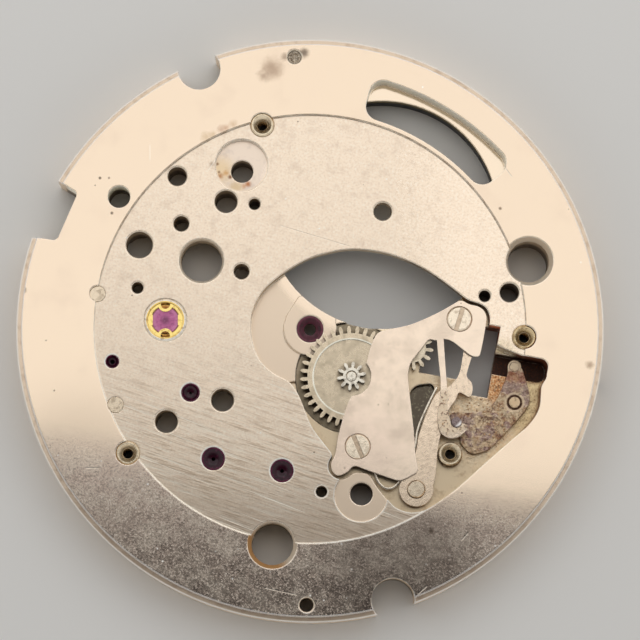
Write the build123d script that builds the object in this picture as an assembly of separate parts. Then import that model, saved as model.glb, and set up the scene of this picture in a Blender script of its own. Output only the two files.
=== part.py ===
from build123d import *
from math import atan2, cos, degrees, radians, sin
import os

# Dial side of a wrist-watch movement: a drilled and milled main plate with its jewels and bushes,
# the minute wheel and setting wheel, and the levers that the stem works.
# Millimetres. The underside lies on Z 0, the origin is the plate's centre, +X runs out along the stem.

# How the plate lies in the picture that the places below, in its pixels, were read from
PICTURE_CENTRE_PX = (310.0, 332.8)
PICTURE_RADIUS_PX = 290.1
PICTURE_LEAN = 7.1
PICTURE_DISTANCE_SHARE = 10.7
STEM_TURN = 10.5

# Plate blank
PLATE_RADIUS = 14.0
PLATE_THICKNESS = 2.2
RIM_STEP_WIDTH = 0.28
RIM_STEP_DROP = 0.2
EDGE_BREAK = 0.05
OVERRUN = 0.5

# Depths milled into the dial side
DISC_RADIUS = 10.28
DISC_DEPTH = 0.15
HOLLOW_DEPTH = 0.7
CENTRE_LAND_RADIUS = 1.27
CENTRE_LAND_RISE = 0.07
WORKS_DEPTH = 0.95
POCKET_DEPTH = 0.1
POCKET_CLEARANCE = 0.22
SPRING_WELL_DEPTH = 0.6
COUNTERBORE_RADIUS = 1.27
COUNTERBORE_DEPTH = 0.35
KIDNEY_LAND = 0.22
KIDNEY_WIDTH = 1.98
KIDNEY_INNER_RADIUS = DISC_RADIUS + KIDNEY_LAND
KIDNEY_OUTER_RADIUS = KIDNEY_INNER_RADIUS + KIDNEY_WIDTH
KIDNEY_DEPTH = 1.0
KIDNEY_CORNER = 0.7
KIDNEY_ANGLES = (49.5, 86.5)

# Wells milled into the underside
BARREL_CHAMBER_RADIUS = 5.54
BARREL_WEB = 0.6
BALANCE_WELL_RADIUS = 4.4
BALANCE_WELL_DEPTH = 0.75
TRAIN_WELL_RADIUS = 3.0
TRAIN_WELL_DEPTH = 0.4
ESCAPE_WELL_RADIUS = 2.3
CENTRE_WELL_RADIUS = 2.2

# Levels, upwards from the underside
RIM_LEVEL = PLATE_THICKNESS - RIM_STEP_DROP
DISC_LEVEL = PLATE_THICKNESS - DISC_DEPTH
HOLLOW_LEVEL = DISC_LEVEL - HOLLOW_DEPTH
LAND_LEVEL = HOLLOW_LEVEL + CENTRE_LAND_RISE
WORKS_LEVEL = DISC_LEVEL - WORKS_DEPTH
POCKET_LEVEL = WORKS_LEVEL - POCKET_DEPTH
COUNTERBORE_LEVEL = DISC_LEVEL - COUNTERBORE_DEPTH
KIDNEY_LEVEL = PLATE_THICKNESS - KIDNEY_DEPTH
CHAMBER_CEILING = DISC_LEVEL - BARREL_WEB

# Setting lever, yoke and cover, stacked over the works floor
LIFT = 0.05
LEVER_THICKNESS = 0.28
YOKE_THICKNESS = 0.23
COVER_THICKNESS = 0.24
LEVEL_GAP = 0.04
LEVER_LEVEL = WORKS_LEVEL + LIFT
LEVER_TOP = LEVER_LEVEL + LEVER_THICKNESS
YOKE_LEVEL = LEVER_TOP + LEVEL_GAP
YOKE_TOP = YOKE_LEVEL + YOKE_THICKNESS
COVER_LEVEL = YOKE_TOP + LEVEL_GAP
COVER_TOP = COVER_LEVEL + COVER_THICKNESS

# Fits
PRESS_GAP = 0.005
RUNNING_GAP = 0.025
ROOT_DEPTH = 0.55

# Stem line
STEM_BORE_RADIUS = 0.5
STEM_HEIGHT = 0.63
CLUTCH_SLOT_START = 5.5
CLUTCH_SLOT_HALF_WIDTH = 1.05
PINION_SLOT_START = 7.35
PINION_SLOT_END = 8.92
PINION_SLOT_HALF_WIDTH = 1.68
PIT_END = 11.47
PIT_HALF_WIDTH = 0.51
PIT_FLOOR = 0.12
PIT_CORNER_RADIUS = 0.4

# Minute works
CANNON_TEETH = 12
MINUTE_TEETH = 36
SETTING_TEETH = 14
PINION_LEAVES = 10
ADDENDUM_SHARE = 1.25
DEDENDUM_SHARE = 1.5
TOOTH_SHARE = 0.46
TOOTH_TIP_SHARE = 0.3
SETTING_BEARING = 36.1
MINUTE_TOOTH_ANGLE = 13.2
PINION_LEAF_ANGLE = 92.5
GEAR_THICKNESS = 0.23
MINUTE_RIM_WIDTH = 0.3
MINUTE_DISH_DEPTH = 0.06
PINION_TIP_RADIUS = 0.69
PINION_ROOT_RADIUS = 0.4
PINION_HEIGHT = 0.42
PINION_HUB_RADIUS = 0.36
PINION_LEVEL = YOKE_LEVEL + GEAR_THICKNESS - MINUTE_DISH_DEPTH + PRESS_GAP
PINION_TOP = PINION_LEVEL + PINION_HEIGHT
MINUTE_POST_RADIUS = 0.235
MINUTE_POST_BASE_RADIUS = 0.45
POST_STAND = 0.06
MINUTE_POST_TOP = PINION_TOP + POST_STAND
SETTING_POST_TOP = YOKE_TOP + RUNNING_GAP
SETTING_POST_RADIUS = 0.23
SETTING_POST_BASE_RADIUS = 0.4
NOTCH_CLEARANCE = 0.25

# Keyless levers
YOKE_POST_RADIUS = 0.41
YOKE_POST_BASE_RADIUS = 0.62
YOKE_EYE_RADIUS = 0.81
SPRING_WIDTH = 0.11
LEVER_SCREW_END_RADIUS = 0.26
LEVER_SCREW_SHANK_RADIUS = 0.33
LEVER_SCREW_HEAD_RADIUS = 0.55
LEVER_SCREW_HEAD_HEIGHT = 0.3
LEVER_SCREW_HEAD_SINK = 0.1
LEVER_SCREW_RISE = 0.05
LEVER_RING_RADIUS = 0.36
LEVER_RING_DEPTH = 0.04
LEVER_NOSE_RADIUS = 0.33
LEVER_STUD_RADIUS = 0.22
LEVER_STUD_DROP = 0.3
LEVER_PIN_RADIUS = 0.24
LEVER_TURN = 18.0
PIN_CLEARANCE = 0.035
DETENT_NOTCH_DEPTH = 0.02

# Cover screws
COVER_SCREW_HEAD_RADIUS = 0.585
COVER_SCREW_HEAD_HEIGHT = 0.22
COVER_SCREW_SINK = 0.13
COVER_SCREW_SHANK_RADIUS = 0.3
COVER_SCREW_LENGTH = 0.75
COVER_BOSS_RADIUS = 0.72
COVER_SLOT_WIDTH = 0.22
SLOT_WIDTH = 0.15
SLOT_DEPTH = 0.11

# Jewels
JEWEL_THICKNESS = 0.45
CENTRE_JEWEL_RADIUS = 0.64
CENTRE_JEWEL_BORE = 0.28
TRAIN_JEWEL_RADIUS = 0.55
TRAIN_JEWEL_BORE = 0.09
PALLET_JEWEL_RADIUS = 0.44
PALLET_JEWEL_BORE = 0.06
CALENDAR_JEWEL_RADIUS = 0.32
CALENDAR_JEWEL_BORE = 0.1
JEWEL_CUP_SHARE = 0.86
JEWEL_CUP_DEPTH_SHARE = 0.45

# Shock setting of the balance
SHOCK_BLOCK_RADIUS = 1.02
SHOCK_BLOCK_RISE = 0.07
SHOCK_BLOCK_HEIGHT = 0.85
SHOCK_SEAT_RADIUS = 0.84
SHOCK_THROAT_RADIUS = 0.5
SHOCK_FLOOR = 0.2
SHOCK_RING_RADIUS = 0.74
SHOCK_RING_HEIGHT = 0.5
CAP_JEWEL_RADIUS = 0.66
CAP_JEWEL_THICKNESS = 0.17
HOLE_JEWEL_RADIUS = 0.4
HOLE_JEWEL_THICKNESS = 0.2
HOLE_JEWEL_BORE = 0.05
SHOCK_SPRING_WIDTH = 0.14
SHOCK_SPRING_THICKNESS = 0.06
SHOCK_ARCH_RADIUS = 0.36
SHOCK_ARCH_CENTRE = 0.76
SHOCK_EAR_LENGTH = 0.24
SHOCK_EAR_WIDTH = 0.5

# Bushes and pins
BUSH_RADIUS = 0.56
BUSH_BORE = 0.275
BUSH_CUP = 0.17
BUSH_ROOT = 1.2
BUSH_DROP = 0.04
WORKS_BUSH_RISE = 0.8
STEADY_PIN_RADIUS = 0.37
STEADY_PIN_LENGTH = 1.2
STEADY_PIN_RISE = 0.02
FOOT_HOLE_RADIUS = 0.33
FOOT_STUB_RADIUS = 0.31
FOOT_STUB_LENGTH = 1.3
FOOT_STUB_DROP = 0.12
FOOT_SCREW_RADIUS = 0.3
FOOT_SCREW_HEIGHT = 1.0
FOOT_SCREW_SINK = 0.1

# Holes through the plate
LARGE_HOLE_RADIUS = 0.985
WIDE_HOLE_RADIUS = 0.63
BRIDGE_HOLE_RADIUS = 0.535
ARBOR_HOLE_RADIUS = 0.43
SCREW_HOLE_RADIUS = 0.45
BANKING_HOLE_RADIUS = 0.365
STEADY_HOLE_RADIUS = 0.27
LARGE_HOLE_BEVEL = 0.2
LARGE_HOLE_BEVEL_DEPTH = 0.3

# Places in the picture's pixels, across and down
LARGE_HOLES_PX = ((201.5, 260.8), (528.5, 261.5), (272.3, 544.0))
WIDE_HOLES_PX = ((139.4, 244.8),)
BRIDGE_HOLES_PX = (
    (119.2, 197.3),
    (226.0, 201.5),
    (242.0, 170.5),
    (222.5, 400.0),
    (166.3, 421.5),
    (361.5, 493.5),
)
SCREW_HOLES_PX = ((177.3, 176.3), (509.5, 292.5))
BANKING_HOLES_PX = ((181.3, 223.6), (241.5, 271.4))
STEADY_HOLES_PX = ((254.5, 204.0), (137.5, 287.7), (484.7, 296.0), (321.5, 491.5))
BARREL_PX = (382.7, 211.5)
COUNTERBORES_PX = ((241.5, 165.3), (361.0, 495.0))
BALANCE_PX = (165.3, 320.0)
THIRD_WHEEL_PX = (282.0, 470.7)
ESCAPE_WHEEL_PX = (213.3, 458.7)
PALLET_FORK_PX = (190.5, 392.5)
CALENDAR_WHEEL_PX = (112.3, 361.5)
BUSHES_PX = ((262.3, 124.5), (524.5, 337.0), (127.5, 453.0))
WORKS_BUSH_PX = (450.5, 453.5)
STEADY_PINS_PX = ((97.5, 294.0), (115.5, 405.0))
UPPER_FOOT_PX = (294.5, 57.5)
LOWER_FOOT_PX = (306.5, 605.0)
MINUTE_POST_PX = (351.474, 376.181)
LEVER_PIVOT_PX = (514.5, 402.5)
LEVER_NOSE_PX = (514.5, 367.0)
LEVER_PIN_PX = (456.5, 422.0)
YOKE_POST_PX = (416.5, 489.0)
COVER_SCREWS_PX = {"cover_screw_lower": (357.7, 446.5), "cover_screw_upper": (459.5, 319.0)}
COVER_SLOT_ANGLES = {"cover_screw_lower": -57.0, "cover_screw_upper": 83.0}

# Cuts in the rim, in the same pixels
ROUND_NOTCHES_PX = ((199.3, 69.5), (393.0, 600.0))
ROUND_NOTCH_RADIUS = 1.02
SQUARE_NOTCH_PX = ((78.0, 193.5), (27.0, 162.0), (-6.0, 232.0), (57.0, 241.0))

# How far along the shorter of its two runs a corner's arc starts
SOFT_SHARE = 0.45
CRISP_SHARE = 0.08

# Outlines, in the same pixels
RECESS_PX = (
    (284.0, 272.0), (262.0, 290.5), (251.0, 313.0), (250.0, 336.0), (258.0, 359.0),
    (272.0, 373.0), (289.0, 381.0), (297.0, 391.0), (303.0, 405.0), (311.0, 427.0),
    (333.0, 455.0), (328.0, 462.0), (328.5, 472.0), (336.5, 479.5), (346.0, 478.0),
    (353.0, 472.0), (369.0, 472.0), (376.0, 485.0), (388.0, 500.0), (396.0, 508.5),
    (411.0, 513.5), (427.0, 510.0), (455.0, 491.0), (492.0, 457.0), (530.0, 424.5),
    (540.0, 409.0), (541.0, 386.0), (547.0, 378.0), (546.0, 366.0), (529.0, 358.5),
    (500.0, 347.0), (488.0, 336.0), (490.5, 318.0), (487.0, 308.0), (479.0, 303.0),
    (469.0, 301.0), (450.0, 286.0), (425.0, 268.0), (390.0, 253.0), (350.0, 247.5),
    (310.0, 257.0),
)
WORKS_ZONE_PX = (
    (352.0, 230.0), (352.0, 376.0), (280.0, 384.0), (280.0, 540.0), (600.0, 540.0), (600.0, 230.0),
)
CENTRE_LAND_PX = ((285.0, 318.0), (299.0, 296.0), (335.0, 296.0), (336.0, 330.0))
SPRING_WELL_PX = ((408.0, 386.0), (437.0, 383.0), (430.0, 400.0), (421.0, 425.0), (414.0, 446.0))
COVER_PX = (
    (461.0, 299.5), (469.0, 304.5), (478.0, 306.0), (484.5, 310.5), (487.0, 318.0),
    (483.0, 342.0), (479.5, 357.5), (471.0, 356.0), (453.0, 341.5), (445.0, 338.5),
    (436.5, 341.0), (429.0, 338.5), (422.0, 348.0), (410.0, 363.0), (407.5, 375.0),
    (410.5, 402.0), (414.5, 437.0), (415.0, 455.0), (418.5, 471.5), (411.0, 476.0),
    (400.0, 481.5), (375.0, 473.0), (353.5, 465.0), (348.0, 472.0), (338.0, 476.5),
    (332.0, 472.0), (330.5, 463.0), (335.5, 455.0), (338.0, 436.0), (345.0, 411.0),
    (350.0, 398.0), (358.0, 390.0), (366.5, 363.0), (371.0, 345.0), (377.0, 332.5),
    (388.0, 329.5), (411.0, 325.0), (440.0, 312.0),
)
DETENT_ARM_PX = (
    (436.5, 336.0), (443.5, 336.0), (445.0, 360.0), (447.2, 388.0),
    (448.0, 402.0), (440.5, 402.0), (440.7, 380.0), (438.5, 360.0),
)
DETENT_HEAD_PX = (
    (441.0, 395.0), (438.5, 408.0), (437.5, 420.0), (440.0, 433.0), (448.0, 438.5),
    (458.0, 438.0), (468.0, 429.0), (465.5, 423.5), (455.0, 424.0), (452.0, 405.0), (447.5, 395.0),
)
YOKE_PX = (
    (399.5, 489.0), (405.0, 476.0), (413.5, 461.0), (417.0, 446.0), (418.5, 436.0),
    (427.0, 412.0), (433.0, 399.0), (438.0, 391.5), (449.0, 387.0), (457.0, 379.0),
    (460.5, 370.0), (464.0, 349.0), (469.0, 343.5), (474.0, 350.0), (468.0, 369.0),
    (466.0, 377.0), (472.0, 382.0), (473.0, 391.0), (470.0, 398.0), (464.5, 394.5),
    (458.5, 391.5), (456.0, 400.0), (449.0, 408.0), (445.0, 420.0), (439.0, 440.0),
    (437.0, 456.0), (436.0, 470.0), (433.5, 489.0),
)
SPRING_PX = (
    (437.0, 387.0), (427.0, 407.0), (417.5, 430.0), (414.0, 449.0), (402.0, 473.0),
    (398.0, 483.0), (389.0, 488.5), (379.5, 483.0), (374.5, 467.0), (373.0, 456.0),
)
SETTING_LEVER_PX = (
    (507.7, 365.0), (508.0, 374.0), (497.0, 400.0), (486.0, 411.0), (465.0, 413.0),
    (452.0, 411.5), (447.0, 420.0), (450.0, 430.0), (460.5, 436.5), (460.0, 443.0),
    (466.5, 451.0), (474.0, 454.5), (488.0, 451.0), (505.0, 434.0), (524.0, 413.0),
    (531.0, 401.0), (528.0, 387.0), (521.3, 365.0),
)


# How a solid of revolution stands on its own origin
ON_END = (Align.CENTER, Align.CENTER, Align.MIN)


def spot(pixel, height):
    """Place on the plate, at a height, of a point of the picture."""
    scale = PLATE_RADIUS / PICTURE_RADIUS_PX
    distance = PLATE_RADIUS * PICTURE_DISTANCE_SHARE
    level, lean = cos(radians(PICTURE_LEAN)), sin(radians(PICTURE_LEAN))
    right = (pixel[0] - PICTURE_CENTRE_PX[0]) * scale
    up = (PICTURE_CENTRE_PX[1] - pixel[1]) * scale
    up = (up * (1 - height * level / distance) - height * lean) / (level - up * lean / distance)
    right *= 1 - (height * level - up * lean) / distance
    return Vector(right, up).rotate(Axis.Z, STEM_TURN)


def bearing(place):
    """Direction of a place from the origin, in degrees."""
    return degrees(atan2(place.Y, place.X))


def polar(radius, angle):
    """Point at a distance and a bearing from the origin."""
    return Vector(radius * cos(radians(angle)), radius * sin(radians(angle)))


def disc(place, radius, low, high):
    """Upright cylinder between two levels."""
    return Pos(place.X, place.Y, low) * Cylinder(radius, high - low, align=ON_END)


def cup(place, radius, mouth_radius, low, high):
    """Upright cone between two levels, wider at its top."""
    return Pos(place.X, place.Y, low) * Cone(radius, mouth_radius, high - low, align=ON_END)


def tube(place, outer_radius, inner_radius, low, high):
    """Upright ring between two levels."""
    return disc(place, outer_radius, low, high) - disc(place, inner_radius, low - OVERRUN, high + OVERRUN)


def block(low_corner, high_corner):
    """Box between two corners."""
    size = high_corner - low_corner
    return Pos(*low_corner) * Box(size.X, size.Y, size.Z, align=(Align.MIN, Align.MIN, Align.MIN))


def slab(face, low, high):
    """Flat face raised between two levels."""
    return extrude(Pos(0, 0, low) * face, high - low, dir=(0, 0, 1))


def rounded_path(points, share, closed):
    """Edges along the runs between points, with an arc tangent to both runs at each corner."""
    count = len(points)
    corners = range(count) if closed else range(1, count - 1)
    arcs = []
    for index in corners:
        corner = points[index]
        back = points[index - 1] - corner
        ahead = points[(index + 1) % count] - corner
        reach = share * min(back.length, ahead.length)
        start, end = corner + back.normalized() * reach, corner + ahead.normalized() * reach
        arcs.append(TangentArc(start, end, tangent=-back))
    ends = [arcs[-1] @ 1] if closed else [points[0]]
    edges = []
    for arc in arcs:
        edges += [Line(ends[-1], arc @ 0), arc]
        ends.append(arc @ 1)
    if not closed:
        edges.append(Line(ends[-1], points[-1]))
    return Wire(edges)


def outline(pixels, height, share):
    """Face inside a closed outline that was read from the picture."""
    return make_face(rounded_path([spot(pixel, height) for pixel in pixels], share, True))


def gear_face(teeth, phase):
    """Outline of a spur wheel about the origin, with its first tooth on the bearing phase."""
    pitch_radius = MODULE * teeth / 2
    tip_radius = pitch_radius + MODULE * ADDENDUM_SHARE
    root_radius = pitch_radius - MODULE * DEDENDUM_SHARE
    return toothed_face(teeth, phase, root_radius, pitch_radius, tip_radius)


def toothed_face(teeth, phase, root_radius, flank_radius, tip_radius):
    """Outline of teeth with straight flanks and rounded tops."""
    pitch = 360 / teeth
    half = pitch * TOOTH_SHARE / 2
    tip_half = half * TOOTH_TIP_SHARE
    shoulder_radius = (flank_radius + tip_radius) / 2
    shoulder_half = (half + tip_half) / 2 + half * TOOTH_TIP_SHARE / 2
    edges = []
    for index in range(teeth):
        middle = phase + index * pitch
        foot_in, foot_out = polar(root_radius, middle - half), polar(root_radius, middle + half)
        flank_in, flank_out = polar(flank_radius, middle - half), polar(flank_radius, middle + half)
        tip_in, tip_out = polar(tip_radius, middle - tip_half), polar(tip_radius, middle + tip_half)
        next_foot = polar(root_radius, middle + pitch - half)
        edges += [
            Line(foot_in, flank_in),
            ThreePointArc(flank_in, polar(shoulder_radius, middle - shoulder_half), tip_in),
            ThreePointArc(tip_in, polar(tip_radius, middle), tip_out),
            ThreePointArc(tip_out, polar(shoulder_radius, middle + shoulder_half), flank_out),
            Line(flank_out, foot_out),
            ThreePointArc(foot_out, polar(root_radius, middle + pitch / 2), next_foot),
        ]
    return make_face(Wire(edges))


# Shared places
ORIGIN = Vector(0, 0)
MINUTE_PLACE = spot(MINUTE_POST_PX, COVER_TOP)
MODULE = 2 * MINUTE_PLACE.length / (CANNON_TEETH + MINUTE_TEETH)
SETTING_PLACE = MINUTE_PLACE + polar(MODULE * (MINUTE_TEETH + SETTING_TEETH) / 2, SETTING_BEARING)
MINUTE_TIP_RADIUS = MODULE * (MINUTE_TEETH / 2 + ADDENDUM_SHARE)
BARREL_PLACE = spot(BARREL_PX, DISC_LEVEL)
BALANCE_PLACE = spot(BALANCE_PX, DISC_LEVEL)
LEVER_PIVOT = spot(LEVER_PIVOT_PX, LEVER_TOP)
LEVER_NOSE = spot(LEVER_NOSE_PX, LEVER_TOP)
LEVER_PIN = spot(LEVER_PIN_PX, COVER_TOP)
YOKE_PIVOT = spot(YOKE_POST_PX, COVER_TOP)
WORKS_BUSH_PLACE = spot(WORKS_BUSH_PX, COVER_TOP)
COVER_SCREW_PLACES = {name: spot(pixel, COVER_TOP) for name, pixel in COVER_SCREWS_PX.items()}
BUSH_PLACES = [spot(pixel, PLATE_THICKNESS) for pixel in BUSHES_PX]
STEADY_PIN_PLACES = [spot(pixel, DISC_LEVEL) for pixel in STEADY_PINS_PX]
FOOT_PLACES = [spot(pixel, DISC_LEVEL) for pixel in (UPPER_FOOT_PX, LOWER_FOOT_PX)]

THIRD_WHEEL_PLACE = spot(THIRD_WHEEL_PX, DISC_LEVEL)
ESCAPE_WHEEL_PLACE = spot(ESCAPE_WHEEL_PX, DISC_LEVEL)
PALLET_FORK_PLACE = spot(PALLET_FORK_PX, DISC_LEVEL)
CALENDAR_WHEEL_PLACE = spot(CALENDAR_WHEEL_PX, DISC_LEVEL)

# Posts: place, radius, radius of the base, and the levels of the floor and of the top
POSTS = {
    "minute_wheel_post": (
        MINUTE_PLACE, MINUTE_POST_RADIUS, MINUTE_POST_BASE_RADIUS, POCKET_LEVEL, MINUTE_POST_TOP,
    ),
    "setting_wheel_post": (
        SETTING_PLACE, SETTING_POST_RADIUS, SETTING_POST_BASE_RADIUS, WORKS_LEVEL, SETTING_POST_TOP,
    ),
    "yoke_post": (YOKE_PIVOT, YOKE_POST_RADIUS, YOKE_POST_BASE_RADIUS, WORKS_LEVEL, COVER_TOP),
}

# Jewels: place, radius, bore and the level of the top
JEWELS = {
    "centre_wheel_jewel": (ORIGIN, CENTRE_JEWEL_RADIUS, CENTRE_JEWEL_BORE, LAND_LEVEL),
    "third_wheel_jewel": (THIRD_WHEEL_PLACE, TRAIN_JEWEL_RADIUS, TRAIN_JEWEL_BORE, DISC_LEVEL),
    "escape_wheel_jewel": (ESCAPE_WHEEL_PLACE, TRAIN_JEWEL_RADIUS, TRAIN_JEWEL_BORE, DISC_LEVEL),
    "pallet_fork_jewel": (PALLET_FORK_PLACE, PALLET_JEWEL_RADIUS, PALLET_JEWEL_BORE, DISC_LEVEL),
    "calendar_wheel_jewel": (
        CALENDAR_WHEEL_PLACE, CALENDAR_JEWEL_RADIUS, CALENDAR_JEWEL_BORE, DISC_LEVEL,
    ),
}


def blank():
    """Turned plate: a ring with a stepped rim and a slightly sunk disc inside it."""
    body = disc(ORIGIN, PLATE_RADIUS, 0, RIM_LEVEL)
    body = chamfer(body.edges().group_by(Axis.Z)[0], EDGE_BREAK)
    body += disc(ORIGIN, PLATE_RADIUS - RIM_STEP_WIDTH, 0, PLATE_THICKNESS)
    return body - disc(ORIGIN, DISC_RADIUS, DISC_LEVEL, PLATE_THICKNESS + OVERRUN)


def kidney_recess():
    """Curved pocket in the ring, with rounded corners, that opens into the barrel chamber."""
    start, end = KIDNEY_ANGLES
    middle = (start + end) / 2
    corners = [polar(KIDNEY_INNER_RADIUS, start), polar(KIDNEY_OUTER_RADIUS, start)]
    corners += [polar(KIDNEY_OUTER_RADIUS, end), polar(KIDNEY_INNER_RADIUS, end)]
    face = make_face(
        Wire([
            Line(corners[0], corners[1]),
            ThreePointArc(corners[1], polar(KIDNEY_OUTER_RADIUS, middle), corners[2]),
            Line(corners[2], corners[3]),
            ThreePointArc(corners[3], polar(KIDNEY_INNER_RADIUS, middle), corners[0]),
        ])
    )
    face = fillet(face.vertices(), KIDNEY_CORNER)
    return slab(face, KIDNEY_LEVEL, PLATE_THICKNESS + OVERRUN)


def milled_recesses():
    """Everything milled into the dial side: hollow, works floor, wheel pocket, wells and counterbores."""
    top = PLATE_THICKNESS + OVERRUN
    recess = slab(outline(RECESS_PX, DISC_LEVEL, SOFT_SHARE), 0, top)
    zone = slab(outline(WORKS_ZONE_PX, WORKS_LEVEL, CRISP_SHARE), 0, top)
    well = outline(SPRING_WELL_PX, WORKS_LEVEL, SOFT_SHARE)
    cuts = [
        recess & disc(ORIGIN, PLATE_RADIUS, HOLLOW_LEVEL, top),
        recess & zone & disc(ORIGIN, PLATE_RADIUS, WORKS_LEVEL, top),
        disc(MINUTE_PLACE, MINUTE_TIP_RADIUS + POCKET_CLEARANCE, POCKET_LEVEL, HOLLOW_LEVEL + OVERRUN),
        slab(well, WORKS_LEVEL - SPRING_WELL_DEPTH, WORKS_LEVEL + OVERRUN),
        kidney_recess(),
    ]
    for pixel in COUNTERBORES_PX:
        cuts.append(disc(spot(pixel, DISC_LEVEL), COUNTERBORE_RADIUS, COUNTERBORE_LEVEL, top))
    return cuts


def raised_lands():
    """Land round the centre jewel and the two bosses that the cover is screwed to."""
    land = disc(ORIGIN, CENTRE_LAND_RADIUS, POCKET_LEVEL, LAND_LEVEL)
    land += slab(outline(CENTRE_LAND_PX, LAND_LEVEL, CRISP_SHARE), POCKET_LEVEL, LAND_LEVEL)
    places = COVER_SCREW_PLACES.values()
    return [land] + [disc(place, COVER_BOSS_RADIUS, POCKET_LEVEL, COVER_LEVEL) for place in places]


def underside_wells():
    """Room under the plate for the barrel, the balance and the wheels of the train."""
    well_top = TRAIN_WELL_DEPTH
    return [
        disc(BARREL_PLACE, BARREL_CHAMBER_RADIUS, -OVERRUN, CHAMBER_CEILING),
        disc(BALANCE_PLACE, BALANCE_WELL_RADIUS, -OVERRUN, BALANCE_WELL_DEPTH),
        disc(JEWELS["third_wheel_jewel"][0], TRAIN_WELL_RADIUS, -OVERRUN, well_top),
        disc(JEWELS["escape_wheel_jewel"][0], ESCAPE_WELL_RADIUS, -OVERRUN, well_top),
        disc(ORIGIN, CENTRE_WELL_RADIUS, -OVERRUN, well_top),
    ]


def stem_line():
    """Bore for the stem, slots for the clutch and the winding pinion, and the pit over the stem's groove."""
    along = PLATE_RADIUS + OVERRUN - PIT_END
    lying = Cylinder(STEM_BORE_RADIUS, along, rotation=(0, 90, 0), align=ON_END)
    clutch_slot = block(
        Vector(CLUTCH_SLOT_START, -CLUTCH_SLOT_HALF_WIDTH, -OVERRUN),
        Vector(PINION_SLOT_START, CLUTCH_SLOT_HALF_WIDTH, COVER_LEVEL),
    )
    pinion_slot = block(
        Vector(PINION_SLOT_START, -PINION_SLOT_HALF_WIDTH, -OVERRUN),
        Vector(PINION_SLOT_END, PINION_SLOT_HALF_WIDTH, PLATE_THICKNESS + OVERRUN),
    )
    pit = block(
        Vector(PINION_SLOT_START, -PIT_HALF_WIDTH, PIT_FLOOR),
        Vector(PIT_END, PIT_HALF_WIDTH, PLATE_THICKNESS + OVERRUN),
    )
    pit = fillet(pit.edges().filter_by(Axis.Z).group_by(Axis.X)[-1], PIT_CORNER_RADIUS)
    return [Pos(PIT_END, 0, STEM_HEIGHT) * lying, clutch_slot, pinion_slot, pit]


def rim_cuts():
    """Notches in the rim, two round and one square, and the cross holes of the foot screws."""
    top = PLATE_THICKNESS + OVERRUN
    cuts = [disc(spot(pixel, RIM_LEVEL), ROUND_NOTCH_RADIUS, -OVERRUN, top) for pixel in ROUND_NOTCHES_PX]
    cuts.append(slab(outline(SQUARE_NOTCH_PX, RIM_LEVEL, CRISP_SHARE), -OVERRUN, top))
    for place in FOOT_PLACES:
        radius, reach = FOOT_SCREW_RADIUS + PRESS_GAP, PLATE_RADIUS + OVERRUN
        cuts.append(foot_screw_cylinder(place, radius, place.length, reach))
    return cuts


def foot_screw_cylinder(place, radius, start, reach):
    """Cylinder on the bearing of a foot's hole, between two distances from the plate's centre."""
    lying = Cylinder(radius, reach - start, rotation=(0, 90, 0), align=ON_END)
    return Rot(0, 0, bearing(place)) * Pos(start, 0, FOOT_SCREW_HEIGHT) * lying


def drilled_hole(pixel, radius, mouth, bevel, bevel_depth):
    """Hole right through, with its mouth bevelled at a level."""
    place = spot(pixel, DISC_LEVEL)
    hole = disc(place, radius, -OVERRUN, PLATE_THICKNESS + OVERRUN)
    return hole + cup(place, radius, radius + bevel, mouth - bevel_depth, mouth)


def plain_holes():
    """The plate's open holes, by radius."""
    rows = [
        (WIDE_HOLE_RADIUS, WIDE_HOLES_PX),
        (BRIDGE_HOLE_RADIUS, BRIDGE_HOLES_PX),
        (SCREW_HOLE_RADIUS, SCREW_HOLES_PX),
        (BANKING_HOLE_RADIUS, BANKING_HOLES_PX),
        (ARBOR_HOLE_RADIUS, (BARREL_PX,)),
        (STEADY_HOLE_RADIUS, STEADY_HOLES_PX),
    ]
    holes = []
    for radius, pixels in rows:
        holes += [drilled_hole(pixel, radius, DISC_LEVEL, EDGE_BREAK, EDGE_BREAK) for pixel in pixels]
    for pixel in LARGE_HOLES_PX:
        bevel = (LARGE_HOLE_BEVEL, LARGE_HOLE_BEVEL_DEPTH)
        holes.append(drilled_hole(pixel, LARGE_HOLE_RADIUS, PLATE_THICKNESS, *bevel))
    for pixel in (UPPER_FOOT_PX, LOWER_FOOT_PX):
        holes.append(drilled_hole(pixel, FOOT_HOLE_RADIUS, PLATE_THICKNESS, EDGE_BREAK, EDGE_BREAK))
    return holes


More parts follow.
